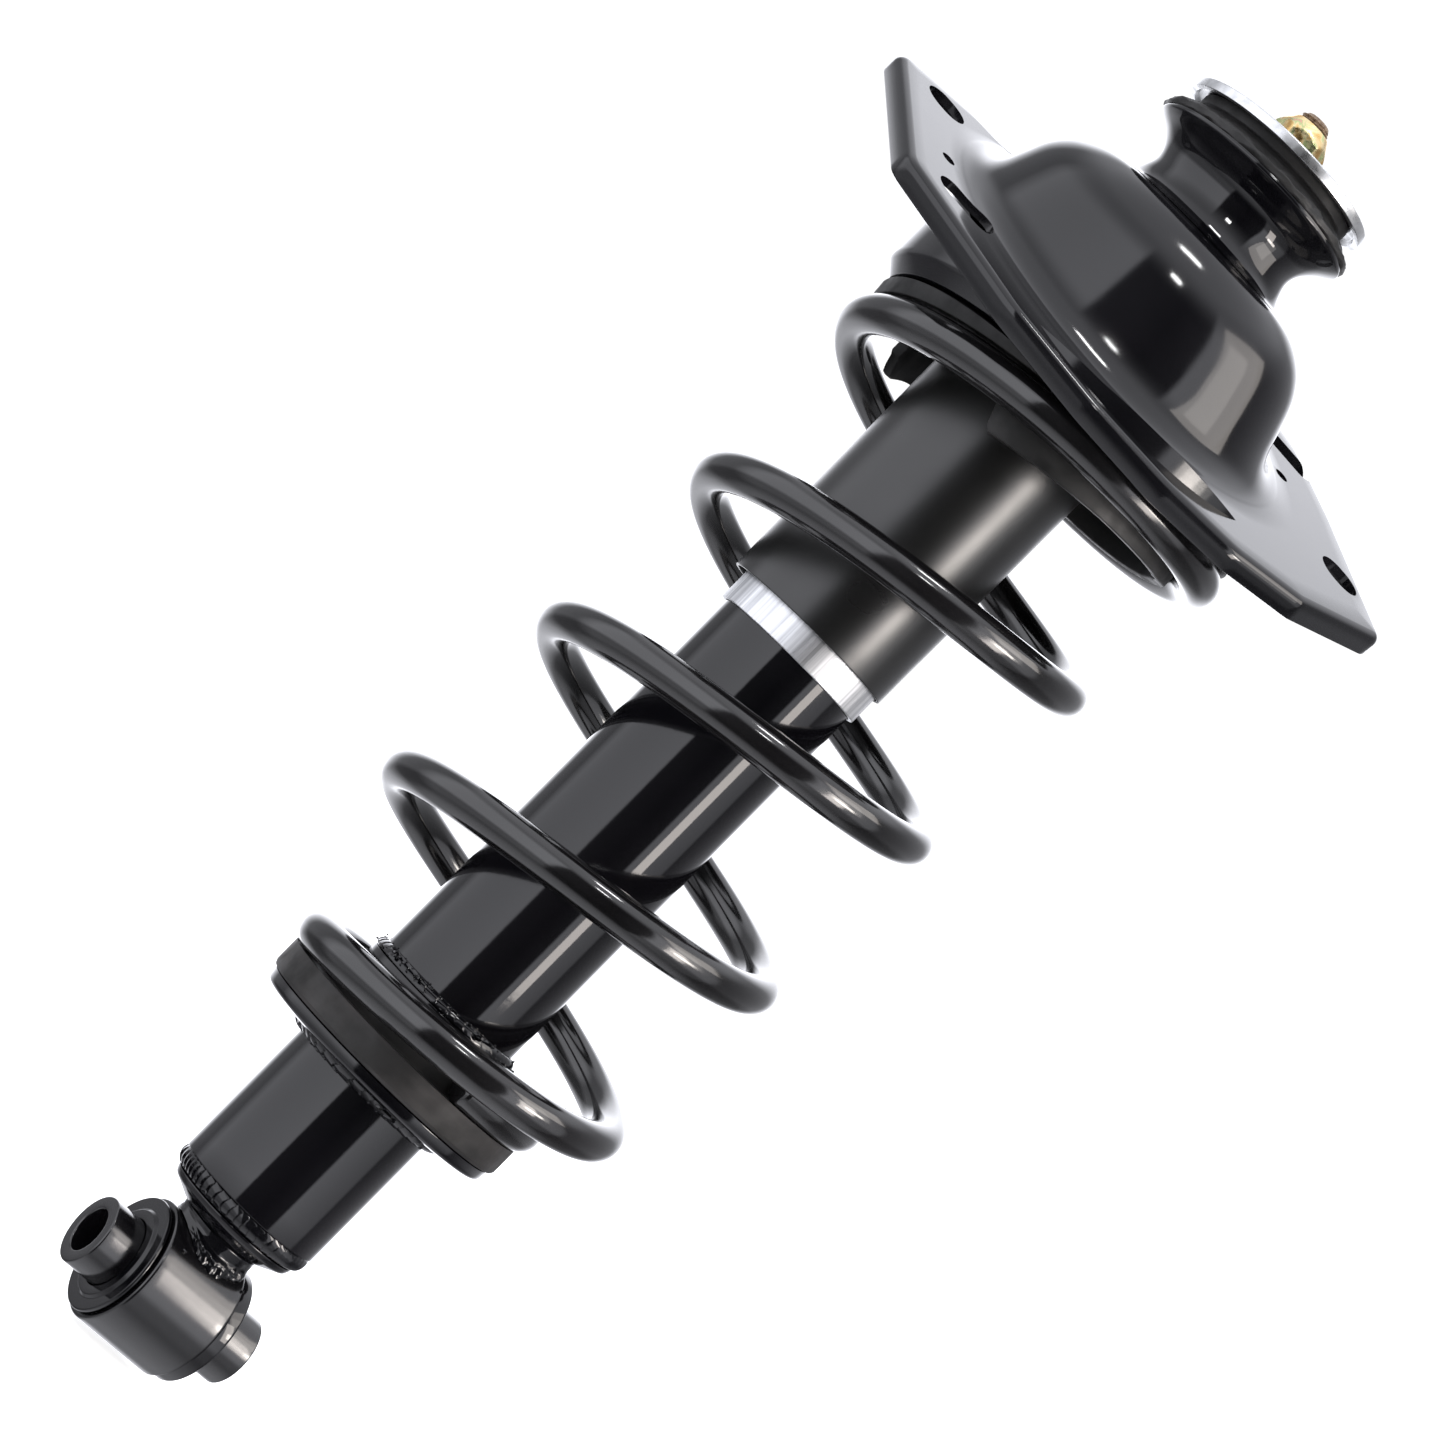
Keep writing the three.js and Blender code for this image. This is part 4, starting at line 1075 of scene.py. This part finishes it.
def math_node(nodes, links, operation, *values):
    node = nodes.new("ShaderNodeMath")
    node.operation = operation
    for socket, value in zip(node.inputs, values):
        set_or_link(links, socket, value)
    return node.outputs[0]


def background(nodes, links, color, strength):
    node = nodes.new("ShaderNodeBackground")
    set_or_link(links, node.inputs["Color"], color)
    set_or_link(links, node.inputs["Strength"], strength)
    return node.outputs[0]


def mixed_light(nodes, links, share, first, second):
    """First where the share is 0, second where it is 1."""
    node = nodes.new("ShaderNodeMixShader")
    for socket, output in zip(node.inputs, (share, first, second)):
        links.new(output, socket)
    return node.outputs[0]


def studio_world():
    """White for the camera; for reflections a studio, bright at the left, the right and behind."""
    world = bpy.data.worlds.new("studio")
    bpy.context.scene.world = world
    world.use_nodes = True
    nodes, links = world.node_tree.nodes, world.node_tree.links
    nodes.clear()
    place = nodes.new("ShaderNodeTexCoord")
    turn = nodes.new("ShaderNodeMapping")
    turn.inputs["Rotation"].default_value = (0, 0, math.radians(-MOUNT_CLOCKING))
    split = nodes.new("ShaderNodeSeparateXYZ")
    links.new(place.outputs["Generated"], turn.inputs["Vector"])
    links.new(turn.outputs["Vector"], split.inputs["Vector"])
    across, deep, high = split.outputs
    towards = math_node(nodes, links, "MULTIPLY", deep, -1)
    angle = math_node(nodes, links, "ARCTAN2", across, towards)
    degrees = math_node(nodes, links, "DEGREES", angle)
    walls, wall_scale = brightness_ramp(nodes, links, degrees, -180, 180, STUDIO_RING)
    foot, _ = brightness_ramp(nodes, links, high, -1, 1, STUDIO_FOOT)
    ends, end_scale = brightness_ramp(nodes, links, high, -1, 1, STUDIO_HEIGHT)
    wall_strength = math_node(nodes, links, "MULTIPLY", foot, wall_scale)
    level = math_node(nodes, links, "ABSOLUTE", high)
    at_wall = map_range(nodes, links, level, (0.5, 0.75, 1, 0))
    at_wall.interpolation_type = "SMOOTHSTEP"
    studio = mixed_light(nodes, links, at_wall.outputs["Result"],
                         background(nodes, links, ends, end_scale),
                         background(nodes, links, walls, wall_strength))
    path = nodes.new("ShaderNodeLightPath")
    seen = mixed_light(nodes, links, path.outputs["Is Camera Ray"], studio,
                       background(nodes, links, WHITE, 1.1))
    output = nodes.new("ShaderNodeOutputWorld")
    links.new(seen, output.inputs["Surface"])


def softbox(name, azimuth, elevation, distance, width, height, power, color, aim_z=-0.15):
    """Area light, placed by degrees right of the camera's direction and above the horizon."""
    aim = Vector((0, 0, aim_z))
    flat, rise = math.radians(azimuth), math.radians(elevation)
    level = math.cos(rise)
    direction = Vector((math.sin(flat) * level, -math.cos(flat) * level, math.sin(rise)))
    place = Matrix.Rotation(math.radians(MOUNT_CLOCKING), 3, "Z") @ (direction * distance) + aim
    light = bpy.data.lights.new(name, "AREA")
    light.shape = "RECTANGLE"
    light.size, light.size_y = width, height
    light.energy = power
    light.color = color
    lamp = bpy.data.objects.new(name, light)
    lamp.location = place
    lamp.rotation_euler = (aim - place).to_track_quat("-Z", "Y").to_euler()
    lamp.visible_camera = False
    bpy.context.scene.collection.objects.link(lamp)


def photo_camera():
    """Camera in front of the mount, rolled so that the strut leans as in the photo."""
    camera = bpy.data.objects.new("camera", bpy.data.cameras.new("camera"))
    clocking = Matrix.Rotation(math.radians(MOUNT_CLOCKING), 4, "Z")
    away = Vector((CAMERA["side"], -CAMERA["distance"], CAMERA["height"])) * MM
    place = Matrix.Translation(away)
    look = Matrix.Rotation(math.radians(90 + CAMERA["pitch"]), 4, "X")
    roll = Matrix.Rotation(math.radians(CAMERA["roll"]), 4, "Z")
    camera.matrix_world = clocking @ place @ look @ roll
    camera.data.lens = CAMERA["lens"]
    camera.data.sensor_width = 36
    bpy.context.scene.collection.objects.link(camera)
    bpy.context.scene.camera = camera


white_floor()
studio_world()
softbox("right_high", 76, 43, 1.5, 0.8, 0.5, 3.8, (1, 0.93, 0.87), -0.4)
softbox("right_near", 60, 2.5, 0.8, 0.17, 0.43, 2.0, (1, 0.92, 0.86))
softbox("right_wall", 70, 22, 1.72, 0.5, 1.0, 2.4, (1, 0.95, 0.9))
softbox("right_low", 66, 8.4, 1.62, 0.4, 0.23, 4.5, (1, 0.93, 0.86))
softbox("front_high", 7, 68, 1.6, 0.3, 0.12, 4, (1, 1, 1))
softbox("front_middle", 7, 42, 1.8, 0.2, 0.08, 2, (1, 1, 1))
photo_camera()
bpy.context.scene.view_settings.view_transform = "Standard"
